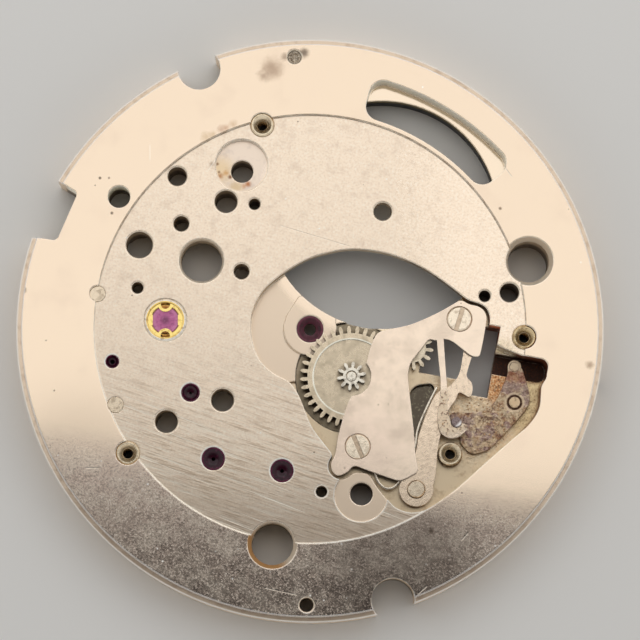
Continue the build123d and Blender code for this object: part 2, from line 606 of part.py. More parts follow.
def seats():
    """Holes that other pieces are pressed, screwed or turn in."""
    top = PLATE_THICKNESS + OVERRUN
    pin_low = DISC_LEVEL - STEADY_PIN_LENGTH
    bush_low = PLATE_THICKNESS - BUSH_ROOT
    cuts = [disc(place, radius + PRESS_GAP, -OVERRUN, top) for place, radius, bore, level in JEWELS.values()]
    cuts.append(disc(BALANCE_PLACE, SHOCK_BLOCK_RADIUS + PRESS_GAP, -OVERRUN, top))
    cuts += [disc(place, BUSH_RADIUS + PRESS_GAP, bush_low, top) for place in BUSH_PLACES]
    cuts.append(disc(WORKS_BUSH_PLACE, BUSH_RADIUS + PRESS_GAP, WORKS_LEVEL - ROOT_DEPTH, top))
    cuts += [disc(place, BUSH_BORE, -OVERRUN, top) for place in BUSH_PLACES + [WORKS_BUSH_PLACE]]
    cuts += [disc(place, STEADY_PIN_RADIUS + PRESS_GAP, pin_low, top) for place in STEADY_PIN_PLACES]
    cuts.append(disc(MINUTE_PLACE, MINUTE_POST_RADIUS + PRESS_GAP, POCKET_LEVEL - ROOT_DEPTH, top))
    cuts.append(disc(SETTING_PLACE, SETTING_POST_RADIUS + PRESS_GAP, WORKS_LEVEL - ROOT_DEPTH, top))
    cuts.append(disc(YOKE_PIVOT, YOKE_POST_RADIUS + PRESS_GAP, WORKS_LEVEL - ROOT_DEPTH, top))
    cuts.append(disc(LEVER_PIVOT, LEVER_SCREW_SHANK_RADIUS + RUNNING_GAP, -OVERRUN, top))
    cuts.append(disc(LEVER_PIVOT, LEVER_SCREW_HEAD_RADIUS + RUNNING_GAP, -OVERRUN, lever_screw_seat()))
    screw_low = COVER_LEVEL - COVER_SCREW_LENGTH
    for place in COVER_SCREW_PLACES.values():
        cuts.append(disc(place, COVER_SCREW_SHANK_RADIUS + PRESS_GAP, screw_low, top))
    return cuts


def lever_screw_seat():
    """Level of the shoulder that the setting lever's screw head runs against."""
    return LEVER_SCREW_HEAD_SINK + LEVER_SCREW_HEAD_HEIGHT + RUNNING_GAP


def main_plate():
    body = blank() - milled_recesses()
    body += raised_lands()
    body -= underside_wells() + stem_line() + rim_cuts()
    return body - (plain_holes() + seats())


def jewel(place, radius, bore, level):
    """Pressed jewel with a bore and a round oil cup in its top."""
    cup_radius = radius * JEWEL_CUP_SHARE
    cup_depth = JEWEL_THICKNESS * JEWEL_CUP_DEPTH_SHARE
    ball_radius = (cup_radius**2 + cup_depth**2) / (2 * cup_depth)
    body = disc(place, radius, level - JEWEL_THICKNESS, level)
    body -= Pos(place.X, place.Y, level + ball_radius - cup_depth) * Sphere(ball_radius)
    return body - disc(place, bore, level - JEWEL_THICKNESS - OVERRUN, level)


def shock_setting():
    """Balance bearing: a block, a loose ring with two jewels in it, and the spring that holds them."""
    top = DISC_LEVEL + SHOCK_BLOCK_RISE
    low = top - SHOCK_BLOCK_HEIGHT
    floor = low + SHOCK_FLOOR
    ring_top = floor + SHOCK_RING_HEIGHT
    cap_low = ring_top - CAP_JEWEL_THICKNESS
    hole_high = cap_low - PRESS_GAP
    hole_low = hole_high - HOLE_JEWEL_THICKNESS
    place = BALANCE_PLACE
    block_body = disc(place, SHOCK_BLOCK_RADIUS, low, top)
    block_body = chamfer(block_body.edges().group_by(Axis.Z)[-1], SHOCK_BLOCK_RISE)
    block_body -= disc(place, SHOCK_SEAT_RADIUS, floor, top + OVERRUN)
    block_body -= disc(place, SHOCK_THROAT_RADIUS, low - OVERRUN, top)
    ring = disc(place, SHOCK_RING_RADIUS, floor, ring_top)
    ring -= disc(place, CAP_JEWEL_RADIUS + PRESS_GAP, cap_low, ring_top + OVERRUN)
    ring -= disc(place, HOLE_JEWEL_RADIUS + PRESS_GAP, floor - OVERRUN, ring_top)
    hole_jewel = tube(place, HOLE_JEWEL_RADIUS, HOLE_JEWEL_BORE, hole_low, hole_high)
    cap_jewel = disc(place, CAP_JEWEL_RADIUS, cap_low, ring_top)
    return {
        "shock_setting_block": block_body,
        "shock_setting_ring": ring,
        "balance_hole_jewel": hole_jewel,
        "balance_cap_jewel": cap_jewel,
        "shock_spring": shock_spring(ring_top),
    }


def shock_spring(ring_top):
    """Flat spring: a ring with an arch bent inwards at two sides and an ear at the other two."""
    low = ring_top + PRESS_GAP
    high = low + SHOCK_SPRING_THICKNESS
    outer = SHOCK_SEAT_RADIUS - PRESS_GAP
    rim = tube(ORIGIN, outer, outer - SHOCK_SPRING_WIDTH, low, high)
    for side in (1, -1):
        centre = Vector(0, side * SHOCK_ARCH_CENTRE)
        arch = disc(centre, SHOCK_ARCH_RADIUS, low, high) & disc(ORIGIN, outer, low, high)
        rim = rim + arch
        rim -= disc(centre, SHOCK_ARCH_RADIUS - SHOCK_SPRING_WIDTH, low - OVERRUN, high + OVERRUN)
        near, far = sorted((side * (outer - SHOCK_EAR_LENGTH), side * outer))
        ear = block(Vector(near, -SHOCK_EAR_WIDTH / 2, low), Vector(far, SHOCK_EAR_WIDTH / 2, high))
        rim += ear & disc(ORIGIN, outer, low, high)
    return Pos(BALANCE_PLACE.X, BALANCE_PLACE.Y, 0) * Rot(0, 0, STEM_TURN) * rim


def bush(place, low, high):
    """Threaded bush with a cupped mouth."""
    body = tube(place, BUSH_RADIUS, BUSH_BORE, low, high)
    body -= cup(place, BUSH_BORE, BUSH_BORE + BUSH_CUP, high - BUSH_CUP, high)
    return chamfer(body.edges().group_by(Axis.Z)[-1].sort_by(SortBy.RADIUS)[-1], EDGE_BREAK)


def post(place, radius, base_radius, floor, top):
    """Post rooted in a floor, with a shoulder that its wheel or lever runs on."""
    shoulder = YOKE_LEVEL - RUNNING_GAP
    body = disc(place, radius, floor - ROOT_DEPTH, top) + disc(place, base_radius, floor, shoulder)
    return chamfer(body.edges().group_by(Axis.Z)[-1], EDGE_BREAK)


def foot_screw(place):
    """Headless screw, slotted at its outer end, that holds one foot of the dial from the side."""
    start = place.length + FOOT_HOLE_RADIUS + PRESS_GAP
    reach = PLATE_RADIUS - FOOT_SCREW_SINK
    body = foot_screw_cylinder(place, FOOT_SCREW_RADIUS, start, reach)
    slot = block(
        Vector(reach - SLOT_DEPTH, -SLOT_WIDTH / 2, FOOT_SCREW_HEIGHT - FOOT_SCREW_RADIUS),
        Vector(reach + OVERRUN, SLOT_WIDTH / 2, FOOT_SCREW_HEIGHT + FOOT_SCREW_RADIUS),
    )
    return body - Rot(0, 0, bearing(place)) * slot


def cover_screw(name):
    """Cheese-headed screw, half sunk in the cover."""
    place = COVER_SCREW_PLACES[name]
    low = COVER_TOP - COVER_SCREW_SINK
    high = low + COVER_SCREW_HEAD_HEIGHT
    head = disc(place, COVER_SCREW_HEAD_RADIUS, low, high)
    head = chamfer(head.edges().group_by(Axis.Z)[-1], EDGE_BREAK)
    slot = block(
        Vector(-COVER_SCREW_HEAD_RADIUS, -COVER_SLOT_WIDTH / 2, high - SLOT_DEPTH),
        Vector(COVER_SCREW_HEAD_RADIUS, COVER_SLOT_WIDTH / 2, high + OVERRUN),
    )
    head -= Pos(place.X, place.Y, 0) * Rot(0, 0, COVER_SLOT_ANGLES[name]) * slot
    return head + disc(place, COVER_SCREW_SHANK_RADIUS, COVER_LEVEL - COVER_SCREW_LENGTH + PRESS_GAP, low)


def pin_path():
    """Room in the detent for the setting lever's pin: a curved way with a notch at each end."""
    arm = LEVER_PIN - LEVER_PIVOT
    start = bearing(arm)
    end = start - LEVER_TURN
    radius = LEVER_PIN_RADIUS + PIN_CLEARANCE
    low, high = COVER_LEVEL - OVERRUN, COVER_TOP + OVERRUN
    way = tube(ORIGIN, arm.length + radius - DETENT_NOTCH_DEPTH, arm.length - radius, low, high)
    wedge = Polyline(ORIGIN, polar(2 * arm.length, end), polar(2 * arm.length, start), close=True)
    way &= slab(make_face(wedge), low, high)
    for angle in (start, end):
        way += disc(polar(arm.length, angle), radius, low, high)
    return Pos(LEVER_PIVOT.X, LEVER_PIVOT.Y, 0) * way


def minute_works_cover():
    """Cover over the wheels, with the long springy detent that the setting lever's pin snaps into."""
    body = slab(outline(COVER_PX, COVER_TOP, SOFT_SHARE), COVER_LEVEL, COVER_TOP)
    body += slab(outline(DETENT_ARM_PX, COVER_TOP, CRISP_SHARE), COVER_LEVEL, COVER_TOP)
    body += slab(outline(DETENT_HEAD_PX, COVER_TOP, SOFT_SHARE), COVER_LEVEL, COVER_TOP)
    low, seat, high = COVER_LEVEL - OVERRUN, COVER_TOP - COVER_SCREW_SINK, COVER_TOP + OVERRUN
    body -= pin_path()
    body -= disc(MINUTE_PLACE, PINION_TIP_RADIUS + NOTCH_CLEARANCE, low, high)
    for place in COVER_SCREW_PLACES.values():
        body -= disc(place, COVER_SCREW_HEAD_RADIUS + RUNNING_GAP, seat, high)
        body -= disc(place, COVER_SCREW_SHANK_RADIUS + RUNNING_GAP, low, high)
    return body


def minute_wheel():
    """Minute wheel with a raised rim inside its teeth."""
    body = slab(gear_face(MINUTE_TEETH, MINUTE_TOOTH_ANGLE), YOKE_LEVEL, YOKE_LEVEL + GEAR_THICKNESS)
    dish_radius = MODULE * (MINUTE_TEETH / 2 - DEDENDUM_SHARE) - MINUTE_RIM_WIDTH
    top = YOKE_LEVEL + GEAR_THICKNESS
    body -= disc(ORIGIN, dish_radius, top - MINUTE_DISH_DEPTH, top + OVERRUN)
    body -= disc(ORIGIN, PINION_HUB_RADIUS + PRESS_GAP, YOKE_LEVEL - OVERRUN, top + OVERRUN)
    return Pos(MINUTE_PLACE.X, MINUTE_PLACE.Y, 0) * body


def minute_pinion():
    """Pinion on the minute wheel, with a hub that is pressed through it."""
    flank_radius = (PINION_TIP_RADIUS + PINION_ROOT_RADIUS) / 2
    leaves = toothed_face(
        PINION_LEAVES, PINION_LEAF_ANGLE, PINION_ROOT_RADIUS, flank_radius, PINION_TIP_RADIUS
    )
    body = slab(leaves, PINION_LEVEL, PINION_TOP) + disc(ORIGIN, PINION_HUB_RADIUS, YOKE_LEVEL, PINION_LEVEL)
    body -= disc(ORIGIN, MINUTE_POST_RADIUS + RUNNING_GAP, YOKE_LEVEL - OVERRUN, PINION_TOP + OVERRUN)
    return Pos(MINUTE_PLACE.X, MINUTE_PLACE.Y, 0) * body


def setting_wheel():
    """Wheel between the clutch and the minute wheel."""
    lead = (SETTING_BEARING - MINUTE_TOOTH_ANGLE) * MINUTE_TEETH / SETTING_TEETH
    phase = SETTING_BEARING + 180 + lead + 180 / SETTING_TEETH
    body = slab(gear_face(SETTING_TEETH, phase), YOKE_LEVEL, YOKE_LEVEL + GEAR_THICKNESS)
    body -= disc(ORIGIN, SETTING_POST_RADIUS + RUNNING_GAP, YOKE_LEVEL - OVERRUN, COVER_LEVEL)
    return Pos(SETTING_PLACE.X, SETTING_PLACE.Y, 0) * body


def setting_lever():
    """Flat lever that the stem turns, with a ring sunk round the end of its pivot screw."""
    low, high = LEVER_LEVEL - OVERRUN, LEVER_TOP + OVERRUN
    body = slab(outline(SETTING_LEVER_PX, LEVER_TOP, SOFT_SHARE), LEVER_LEVEL, LEVER_TOP)
    body += disc(LEVER_NOSE, LEVER_NOSE_RADIUS, LEVER_LEVEL, LEVER_TOP)
    body -= disc(LEVER_PIVOT, LEVER_RING_RADIUS, LEVER_TOP - LEVER_RING_DEPTH, high)
    body -= disc(LEVER_PIVOT, LEVER_SCREW_END_RADIUS + PRESS_GAP, low, high)
    body -= disc(LEVER_PIN, LEVER_PIN_RADIUS + PRESS_GAP, low, high)
    return body - disc(LEVER_NOSE, LEVER_STUD_RADIUS + PRESS_GAP, low, high)


def setting_lever_screw():
    """Pivot of the setting lever, put in from the underside, whose end shows in the lever."""
    shoulder = LEVER_SCREW_HEAD_SINK + LEVER_SCREW_HEAD_HEIGHT
    slot = block(
        Vector(-LEVER_SCREW_HEAD_RADIUS, -SLOT_WIDTH / 2, 0),
        Vector(LEVER_SCREW_HEAD_RADIUS, SLOT_WIDTH / 2, LEVER_SCREW_HEAD_SINK + SLOT_DEPTH),
    )
    body = disc(ORIGIN, LEVER_SCREW_HEAD_RADIUS, LEVER_SCREW_HEAD_SINK, shoulder) - slot
    body += disc(ORIGIN, LEVER_SCREW_SHANK_RADIUS, shoulder, LEVER_LEVEL)
    body += disc(ORIGIN, LEVER_SCREW_END_RADIUS, LEVER_LEVEL, LEVER_TOP + LEVER_SCREW_RISE)
    return Pos(LEVER_PIVOT.X, LEVER_PIVOT.Y, 0) * body


def yoke():
    """Lever that shifts the clutch: an eye on its post, a long arm, a hooked head and a finger."""
    body = slab(outline(YOKE_PX, YOKE_TOP, SOFT_SHARE), YOKE_LEVEL, YOKE_TOP)
    body += disc(YOKE_PIVOT, YOKE_EYE_RADIUS, YOKE_LEVEL, YOKE_TOP)
    low, high = YOKE_LEVEL - OVERRUN, YOKE_TOP + OVERRUN
    body -= spring_strip(SPRING_WIDTH + 2 * PRESS_GAP, low, high)
    return body - disc(YOKE_PIVOT, YOKE_POST_RADIUS + RUNNING_GAP, low, high)


def spring_strip(width, low, high):
    """Bent strip along the yoke spring's line."""
    path = rounded_path([spot(pixel, YOKE_TOP) for pixel in SPRING_PX], SOFT_SHARE, False)
    return slab(make_face(offset(path, width / 2, kind=Kind.ARC)), low, high)


def yoke_spring():
    """Strip that lies along the yoke and runs back round its eye to the lower boss."""
    return spring_strip(SPRING_WIDTH, YOKE_LEVEL, YOKE_TOP)


def nodes():
    """Every piece of the movement by its name."""
    pieces = {"main_plate": main_plate()}
    for name, (place, radius, bore, level) in JEWELS.items():
        pieces[name] = jewel(place, radius, bore, level)
    pieces.update(shock_setting())
    bush_low, bush_high = PLATE_THICKNESS - BUSH_ROOT, PLATE_THICKNESS - BUSH_DROP
    for index, place in enumerate(BUSH_PLACES):
        pieces[f"calendar_bush_{index + 1}"] = bush(place, bush_low, bush_high)
    pieces["works_bush"] = bush(WORKS_BUSH_PLACE, WORKS_LEVEL - ROOT_DEPTH, WORKS_LEVEL + WORKS_BUSH_RISE)
    pin_low, pin_high = DISC_LEVEL - STEADY_PIN_LENGTH, DISC_LEVEL + STEADY_PIN_RISE
    for index, place in enumerate(STEADY_PIN_PLACES):
        pieces[f"steady_pin_{index + 1}"] = disc(place, STEADY_PIN_RADIUS, pin_low, pin_high)
    upper_foot, lower_foot = FOOT_PLACES
    stub_high = PLATE_THICKNESS - FOOT_STUB_DROP
    pieces["dial_foot_stub"] = disc(upper_foot, FOOT_STUB_RADIUS, stub_high - FOOT_STUB_LENGTH, stub_high)
    pieces["dial_foot_screw_upper"] = foot_screw(upper_foot)
    pieces["dial_foot_screw_lower"] = foot_screw(lower_foot)
    for name, (place, radius, base_radius, floor, top) in POSTS.items():
        pieces[name] = post(place, radius, base_radius, floor, top)
    pieces["minute_works_cover"] = minute_works_cover()
    for name in COVER_SCREWS_PX:
        pieces[name] = cover_screw(name)
    pieces["yoke_spring"] = yoke_spring()
    pieces["minute_wheel"] = minute_wheel()
    pieces["minute_pinion"] = minute_pinion()
    pieces["setting_wheel"] = setting_wheel()
    pieces["setting_lever"] = setting_lever()
    pieces["setting_lever_screw"] = setting_lever_screw()
    pieces["setting_lever_pin"] = disc(LEVER_PIN, LEVER_PIN_RADIUS, LEVER_LEVEL, COVER_TOP + LEVEL_GAP)
    stud_low = LEVER_LEVEL - LEVER_STUD_DROP
    pieces["setting_lever_stud"] = disc(LEVER_NOSE, LEVER_STUD_RADIUS, stud_low, LEVER_TOP)
    pieces["yoke"] = yoke()
    return pieces


os.makedirs("parts", exist_ok=True)
for node, piece in nodes().items():
    export_step(piece, f"parts/{node}.step")
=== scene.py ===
import math
import random

import bpy
from mathutils import Matrix, Vector


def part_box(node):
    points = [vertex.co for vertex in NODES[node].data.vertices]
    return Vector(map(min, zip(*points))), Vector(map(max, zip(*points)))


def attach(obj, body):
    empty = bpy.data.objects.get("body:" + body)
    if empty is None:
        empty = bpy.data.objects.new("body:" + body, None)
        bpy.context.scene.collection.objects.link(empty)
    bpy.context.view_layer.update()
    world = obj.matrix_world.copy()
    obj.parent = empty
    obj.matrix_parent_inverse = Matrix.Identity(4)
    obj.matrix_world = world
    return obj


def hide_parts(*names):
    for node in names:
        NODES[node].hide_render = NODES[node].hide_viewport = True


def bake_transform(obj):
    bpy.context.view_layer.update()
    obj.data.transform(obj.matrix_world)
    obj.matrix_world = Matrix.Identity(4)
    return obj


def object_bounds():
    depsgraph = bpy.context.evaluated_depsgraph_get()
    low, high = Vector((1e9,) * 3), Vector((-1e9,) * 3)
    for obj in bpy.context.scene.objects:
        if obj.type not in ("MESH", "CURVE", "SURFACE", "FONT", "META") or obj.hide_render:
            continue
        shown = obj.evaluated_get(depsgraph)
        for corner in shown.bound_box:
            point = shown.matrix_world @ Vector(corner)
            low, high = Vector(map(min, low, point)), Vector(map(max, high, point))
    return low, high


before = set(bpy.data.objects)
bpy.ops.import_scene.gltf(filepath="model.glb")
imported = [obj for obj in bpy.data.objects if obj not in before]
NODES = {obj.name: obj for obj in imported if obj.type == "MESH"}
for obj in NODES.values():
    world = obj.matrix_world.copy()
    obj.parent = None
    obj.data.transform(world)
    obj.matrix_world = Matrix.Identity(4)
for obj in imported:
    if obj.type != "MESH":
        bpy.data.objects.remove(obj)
CAD_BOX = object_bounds()

# The frame is in metres; lengths here are written in millimetres and multiplied by MM.
MM = 0.001
PER_METRE = 1000.0

# Camera, fitted to the circles of the plate in the photograph.
CAMERA_DISTANCE = 150.0
CAMERA_LEAN = math.radians(7.1)
STEM_TURN = math.radians(10.5)
PICTURE_SIZE = 640
MM_PER_PIXEL = 0.04826
CENTRE_PX = (310.0, 332.8)
SENSOR = 36.0
CLIP_START = 0.001
PICTURE_RIGHT = Vector((math.cos(STEM_TURN), math.sin(STEM_TURN), 0))
PICTURE_UP = Vector((-math.sin(STEM_TURN), math.cos(STEM_TURN), 0))
PLUMB = Vector((0, 0, 1))

# Light.
LAMP_LENGTH = 320.0
LAMP_DEPTH = 260.0
LAMP_HEIGHT = 160.0
LAMP_NEAR_EDGE = 3.5
LAMP_TURN = math.radians(-4.3)
LAMP_RADIANCE = 0.97
SKY_LOW = 0.8
SKY_HIGH = 0.06
SKY_BAND = (0.45, 0.85)
FLOOR_SIZE = 3000.0
FLOOR_COLOUR = (232, 230, 226)
FLOOR_ROUGHNESS = 0.9
FLOOR_GLOSS = 0.1

# Levels, from the nodes that show them.
RING_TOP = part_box("main_plate")[1].z * PER_METRE
DISC_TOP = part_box("steady_pin_1")[1].z * PER_METRE
COVER_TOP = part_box("minute_works_cover")[1].z * PER_METRE
FLOOR_LEVEL = 1.1
DISC_RADIUS = 10.28
PLATE_RADIUS = CAD_BOX[1].x * PER_METRE
AXIS = (0, 0, 0)
BARREL_PLACE = (2.400, 6.131, 0)
BARREL_RADIUS = 5.54
JEWELS = ("third_wheel_jewel", "escape_wheel_jewel", "pallet_fork_jewel", "calendar_wheel_jewel")
COVER_SCREWS = ("cover_screw_lower", "cover_screw_upper")
NICKEL_BUSHES = ("calendar_bush_1", "calendar_bush_3", "works_bush")

# Places of stains and marks, and of painted shade and painted highlights, in the photograph, in pixels.
WORKS_PX = (430, 395)
WORKS_STAIN_PX = (478, 402)
OIL_PX = (541, 405)
CORNER_PX = (546, 404)
PIT_PX = (518, 361)
PIT_LIP_PX = (520, 372)
SHELF_PX = (497, 384)
SLOT_PX = (493, 333)
LEDGE_PX = (502, 353)
COUNTERBORE_PX = (241.5, 165.3)
LOWER_BORE_PX = (272, 544)
CREST_PX = (362, 476)
DUSK_PX = (400, 562)
HAZE_PX = (84, 446)
DETENT_HEAD_PX = (452, 412)

# How far the works reach round their place, and the levels at which some of the marks lie.
WORKS_REACH = 6.5
SLOT_LEVEL = 1.6
LEDGE_LEVEL = 1.4
COUNTERBORE_LEVEL = 1.7

# Sizes that the finishes share.
EDGE_RADIUS = 0.04
WIDE_EDGE = 0.22
EDGE_SAMPLES = 6
BUMP_DISTANCE = MM
MINUTE_DISH = 1.82
RUBY_IOR = 1.76


def paint(red, green, blue):
    """A colour as it is seen, turned into the linear one that a shader takes."""
    seen = [part / 255 for part in (red, green, blue)]
    linear = [part / 12.92 if part < 0.04045 else ((part + 0.055) / 1.055) ** 2.4 for part in seen]
    return (*linear, 1.0)


def middle(name):
    """The centre of a node's box, in millimetres."""
    low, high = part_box(name)
    return (low + high) * PER_METRE / 2


def half_width(name):
    """Half the width of a node's box, in millimetres."""
    low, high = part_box(name)
    return (high.x - low.x) * PER_METRE / 2


def place(pixel, height):
    """The point that a pixel of the photograph shows at a height over the floor, in millimetres."""
    level = math.cos(CAMERA_LEAN)
    lean = math.sin(CAMERA_LEAN)
    right = (pixel[0] - CENTRE_PX[0]) * MM_PER_PIXEL
    up = (CENTRE_PX[1] - pixel[1]) * MM_PER_PIXEL
    depth = level - up * lean / CAMERA_DISTANCE
    up = (up * (1 - height * level / CAMERA_DISTANCE) - height * lean) / depth
    right *= 1 - (height * level - up * lean) / CAMERA_DISTANCE
    return PICTURE_RIGHT * right + PICTURE_UP * up + PLUMB * height


class Finish:
    """The nodes of one surface finish. Its lengths and heights are in millimetres."""

    def __init__(self, name, colour, roughness, metallic=1.0, edge=EDGE_RADIUS):
        self.material = bpy.data.materials.new(name)
        self.material.use_nodes = True
        self.tree = self.material.node_tree
        self.shader = self.tree.nodes["Principled BSDF"]
        coordinates = self.tree.nodes.new("ShaderNodeTexCoord").outputs["Object"]
        self.at = self.node("VectorMath", coordinates, (PER_METRE,) * 3, operation="MULTIPLY")
        parts = self.tree.nodes.new("ShaderNodeSeparateXYZ")
        self.feed(parts.inputs[0], self.at)
        self.x, self.y, self.z = parts.outputs
        self.facing = self.tree.nodes.new("ShaderNodeNewGeometry").outputs["True Normal"]
        turned = self.tree.nodes.new("ShaderNodeSeparateXYZ")
        self.feed(turned.inputs[0], self.facing)
        self.up = turned.outputs[2]
        self.rounded = self.node("Bevel", edge * MM, samples=EDGE_SAMPLES)
        self.colour = paint(*colour)
        self.roughness = roughness
        self.metallic = metallic
        self.height = None

    def feed(self, entry, value):
        """Sets an input to a number or a colour, or links it."""
        if isinstance(value, bpy.types.NodeSocket):
            self.tree.links.new(value, entry)
        else:
            entry.default_value = value

    def node(self, kind, *entries, out=0, **settings):
        """Adds a node with these inputs and settings, and gives one of its outputs."""
        made = self.tree.nodes.new("ShaderNode" + kind)
        for setting, value in settings.items():
            setattr(made, setting, value)
        for entry, value in zip(made.inputs, entries):
            self.feed(entry, value)
        return made.outputs[out]

    def maths(self, operation, first, second=0.0, third=0.0):
        """A sum, a product or the like of two or three values."""
        return self.node("Math", first, second, third, operation=operation)

    def times(self, first, *others):
        """The product of some values."""
        for other in others:
            first = self.maths("MULTIPLY", first, other)
        return first

    def less(self, value):
        """One minus a value."""
        return self.maths("SUBTRACT", 1.0, value)

    def soft(self, value, low, high):
        """0 at low and 1 at high, with a smooth step between them."""
        return self.node("MapRange", value, low, high, 0.0, 1.0, interpolation_type="SMOOTHSTEP")

    def band(self, value, low, high, fade):
        """1 between low and high."""
        over = self.soft(value, low - fade, low + fade)
        return self.times(over, self.soft(value, high + fade, high - fade))

    def lay(self, size, turn=0.0, centre=(0, 0, 0)):
        """Coordinates for a pattern with features of this size, turned about the plumb line."""
        return self.node("Mapping", self.at, centre, (0, 0, turn), size, vector_type="TEXTURE")

    def noise(self, size, detail=3.0, rough=0.55, turn=0.0, shift=0.0):
        """Clouds of one size, or stretched where three sizes are given."""
        spread = size if isinstance(size, tuple) else (size,) * 3
        return self.node("TexNoise", self.lay(spread, turn, (shift, shift, shift)), 0.0, 1.0, detail, rough)

    def cells(self, size, out=0, shift=0.0):
        """Distance from scattered points, or with out=1 a colour for each of them."""
        return self.node("TexVoronoi", self.lay((size,) * 3, 0.0, (shift, shift, 0)), 0.0, 1.0, out=out)

    def scatter(self, spacing, shift):
        """Distance from scattered points, and a chance between 0 and 1 for each of them."""
        dots = self.cells(spacing, shift=shift)
        return dots, self.node("SeparateColor", self.cells(spacing, out=1, shift=shift))

    def rings(self, centre, pitch):
        """Fine rings turned about a place."""
        stretched = self.maths("DIVIDE", self.away(centre), pitch)
        return self.node("TexNoise", self.node("CombineXYZ", 0.0, 0.0, stretched), 0.0, 1.0, 2.0, 0.6)

    def away(self, centre):
        """Distance from a plumb line through a place."""
        offset = self.node("VectorMath", self.at, tuple(centre), operation="SUBTRACT")
        flat = self.node("VectorMath", offset, (1, 1, 0), operation="MULTIPLY")
        return self.node("VectorMath", flat, operation="LENGTH", out=1)

    def toward(self, way, centre=(0, 0, 0)):
        """How far a point lies from a place in one direction."""
        offset = self.node("VectorMath", self.at, tuple(centre), operation="SUBTRACT")
        return self.node("VectorMath", offset, tuple(way), operation="DOT_PRODUCT", out=1)

    def near(self, centre, radius, fade, wobble=None, reach=0.0):
        """1 near a place and 0 away from it, with an uneven edge where a wobble is given."""
        distance = self.away(centre)
        if wobble is not None:
            distance = self.maths("MULTIPLY_ADD", self.maths("SUBTRACT", wobble, 0.5), reach, distance)
        return self.soft(distance, radius + fade, max(radius - fade, 0.0))

    def edges(self, low=0.004, high=0.09):
        """1 on sharp edges."""
        turned = self.node("VectorMath", self.rounded, self.facing, operation="DOT_PRODUCT", out=1)
        return self.soft(self.less(turned), low, high)

    def upright(self, low=0.2, high=0.5):
        """1 on walls and 0 on faces that look up or down."""
        return self.less(self.soft(self.maths("ABSOLUTE", self.up), low, high))

    def topside(self, low=0.8, high=0.95):
        """1 on faces that look up."""
        return self.soft(self.up, low, high)

    def most(self, *values):
        """The greatest of some values."""
        found = values[0]
        for value in values[1:]:
            found = self.maths("MAXIMUM", found, value)
        return found

    def tint(self, colour, *amounts):
        """Lays a colour over the finish, as strongly as its amounts multiplied."""
        made = self.tree.nodes.new("ShaderNodeMix")
        made.data_type = "RGBA"
        self.feed(made.inputs[0], self.times(*amounts))
        self.feed(made.inputs[6], self.colour)
        self.feed(made.inputs[7], paint(*colour))
        self.colour = made.outputs[2]

    def roughen(self, value, *amounts):
        """Brings the roughness towards a value."""
        self.roughness = self.node("MapRange", self.times(*amounts), 0.0, 1.0, self.roughness, value)

    def dull(self, *amounts, value=0.0):
        """Rust and dirt hide the metal."""
        self.metallic = self.node("MapRange", self.times(*amounts), 0.0, 1.0, self.metallic, value)

    def lift(self, height, *patterns):
        """Adds the product of some patterns to the surface, this high."""
        raised = self.maths("MULTIPLY", self.times(*patterns), height)
        self.height = raised if self.height is None else self.maths("ADD", self.height, raised)

    def make_ruby(self, gloss):
        """Refracts light as ruby does, with this much gloss."""
        self.shader.inputs["IOR"].default_value = RUBY_IOR
        self.shader.inputs["Specular IOR Level"].default_value = gloss

    def close(self):
        """Joins colour, gloss and bumps to the shader."""
        self.feed(self.shader.inputs["Base Color"], self.colour)
        self.feed(self.shader.inputs["Roughness"], self.roughness)
        self.feed(self.shader.inputs["Metallic"], self.metallic)
        normal = self.rounded
        if self.height is not None:
            bump = self.tree.nodes.new("ShaderNodeBump")
            bump.inputs["Distance"].default_value = BUMP_DISTANCE
            self.feed(bump.inputs["Height"], self.height)
            self.feed(bump.inputs["Normal"], self.rounded)
            normal = bump.outputs[0]
        self.feed(self.shader.inputs["Normal"], normal)
        return self.material


def wear_and_highlight_edges(finish, bright, amount=0.7, roughness=0.2):
    """Burnishes the edges of a finish; with a pale colour the tint is also a painted highlight along them.
    """
    edge = finish.edges()
    broken = finish.soft(finish.noise(0.35, 2.0, shift=3.0), 0.3, 0.62)
    wear = finish.times(edge, broken, amount)
    # wear, and with a pale colour a painted highlight, on the edges
    finish.tint(bright, wear)
    finish.roughen(roughness, wear)


# Finishes

STAINS = [
    # pixel, level, radius, fade, colour, strength
    ((272, 68), RING_TOP, 0.38, 0.35, (150, 122, 98), 0.65),
    ((264, 76), RING_TOP, 0.2, 0.25, (140, 112, 90), 0.55),
    ((304, 53), RING_TOP, 0.2, 0.15, (92, 78, 66), 0.8),
    ((285, 57), RING_TOP, 0.16, 0.14, (120, 96, 78), 0.6),
    ((212, 164), DISC_TOP, 0.1, 0.1, (140, 110, 84), 0.6),
    ((221, 130), RING_TOP, 0.1, 0.2, (176, 132, 104), 0.6),
    ((226, 128), RING_TOP, 0.08, 0.16, (186, 140, 108), 0.5),
    ((233, 124), RING_TOP, 0.1, 0.2, (190, 154, 116), 0.5),
    ((213, 134), RING_TOP, 0.08, 0.18, (196, 166, 124), 0.5),
    ((206, 137), RING_TOP, 0.12, 0.22, (196, 166, 124), 0.5),
    ((100, 178), RING_TOP, 0.06, 0.04, (80, 66, 54), 0.85),
    ((109, 178), RING_TOP, 0.05, 0.04, (96, 80, 66), 0.8),
    ((112, 213), RING_TOP, 0.07, 0.05, (86, 70, 56), 0.85),
    ((22, 290), RING_TOP, 0.16, 0.1, (96, 78, 60), 0.85),
    ((500, 209), DISC_TOP, 0.06, 0.05, (110, 90, 70), 0.8),
    ((431, 531), DISC_TOP, 0.12, 0.08, (90, 74, 60), 0.7),
    ((590, 365), RING_TOP, 0.14, 0.15, (120, 92, 64), 0.6),
    ((393, 601), RING_TOP, 0.5, 0.25, (128, 84, 62), 0.65),
]

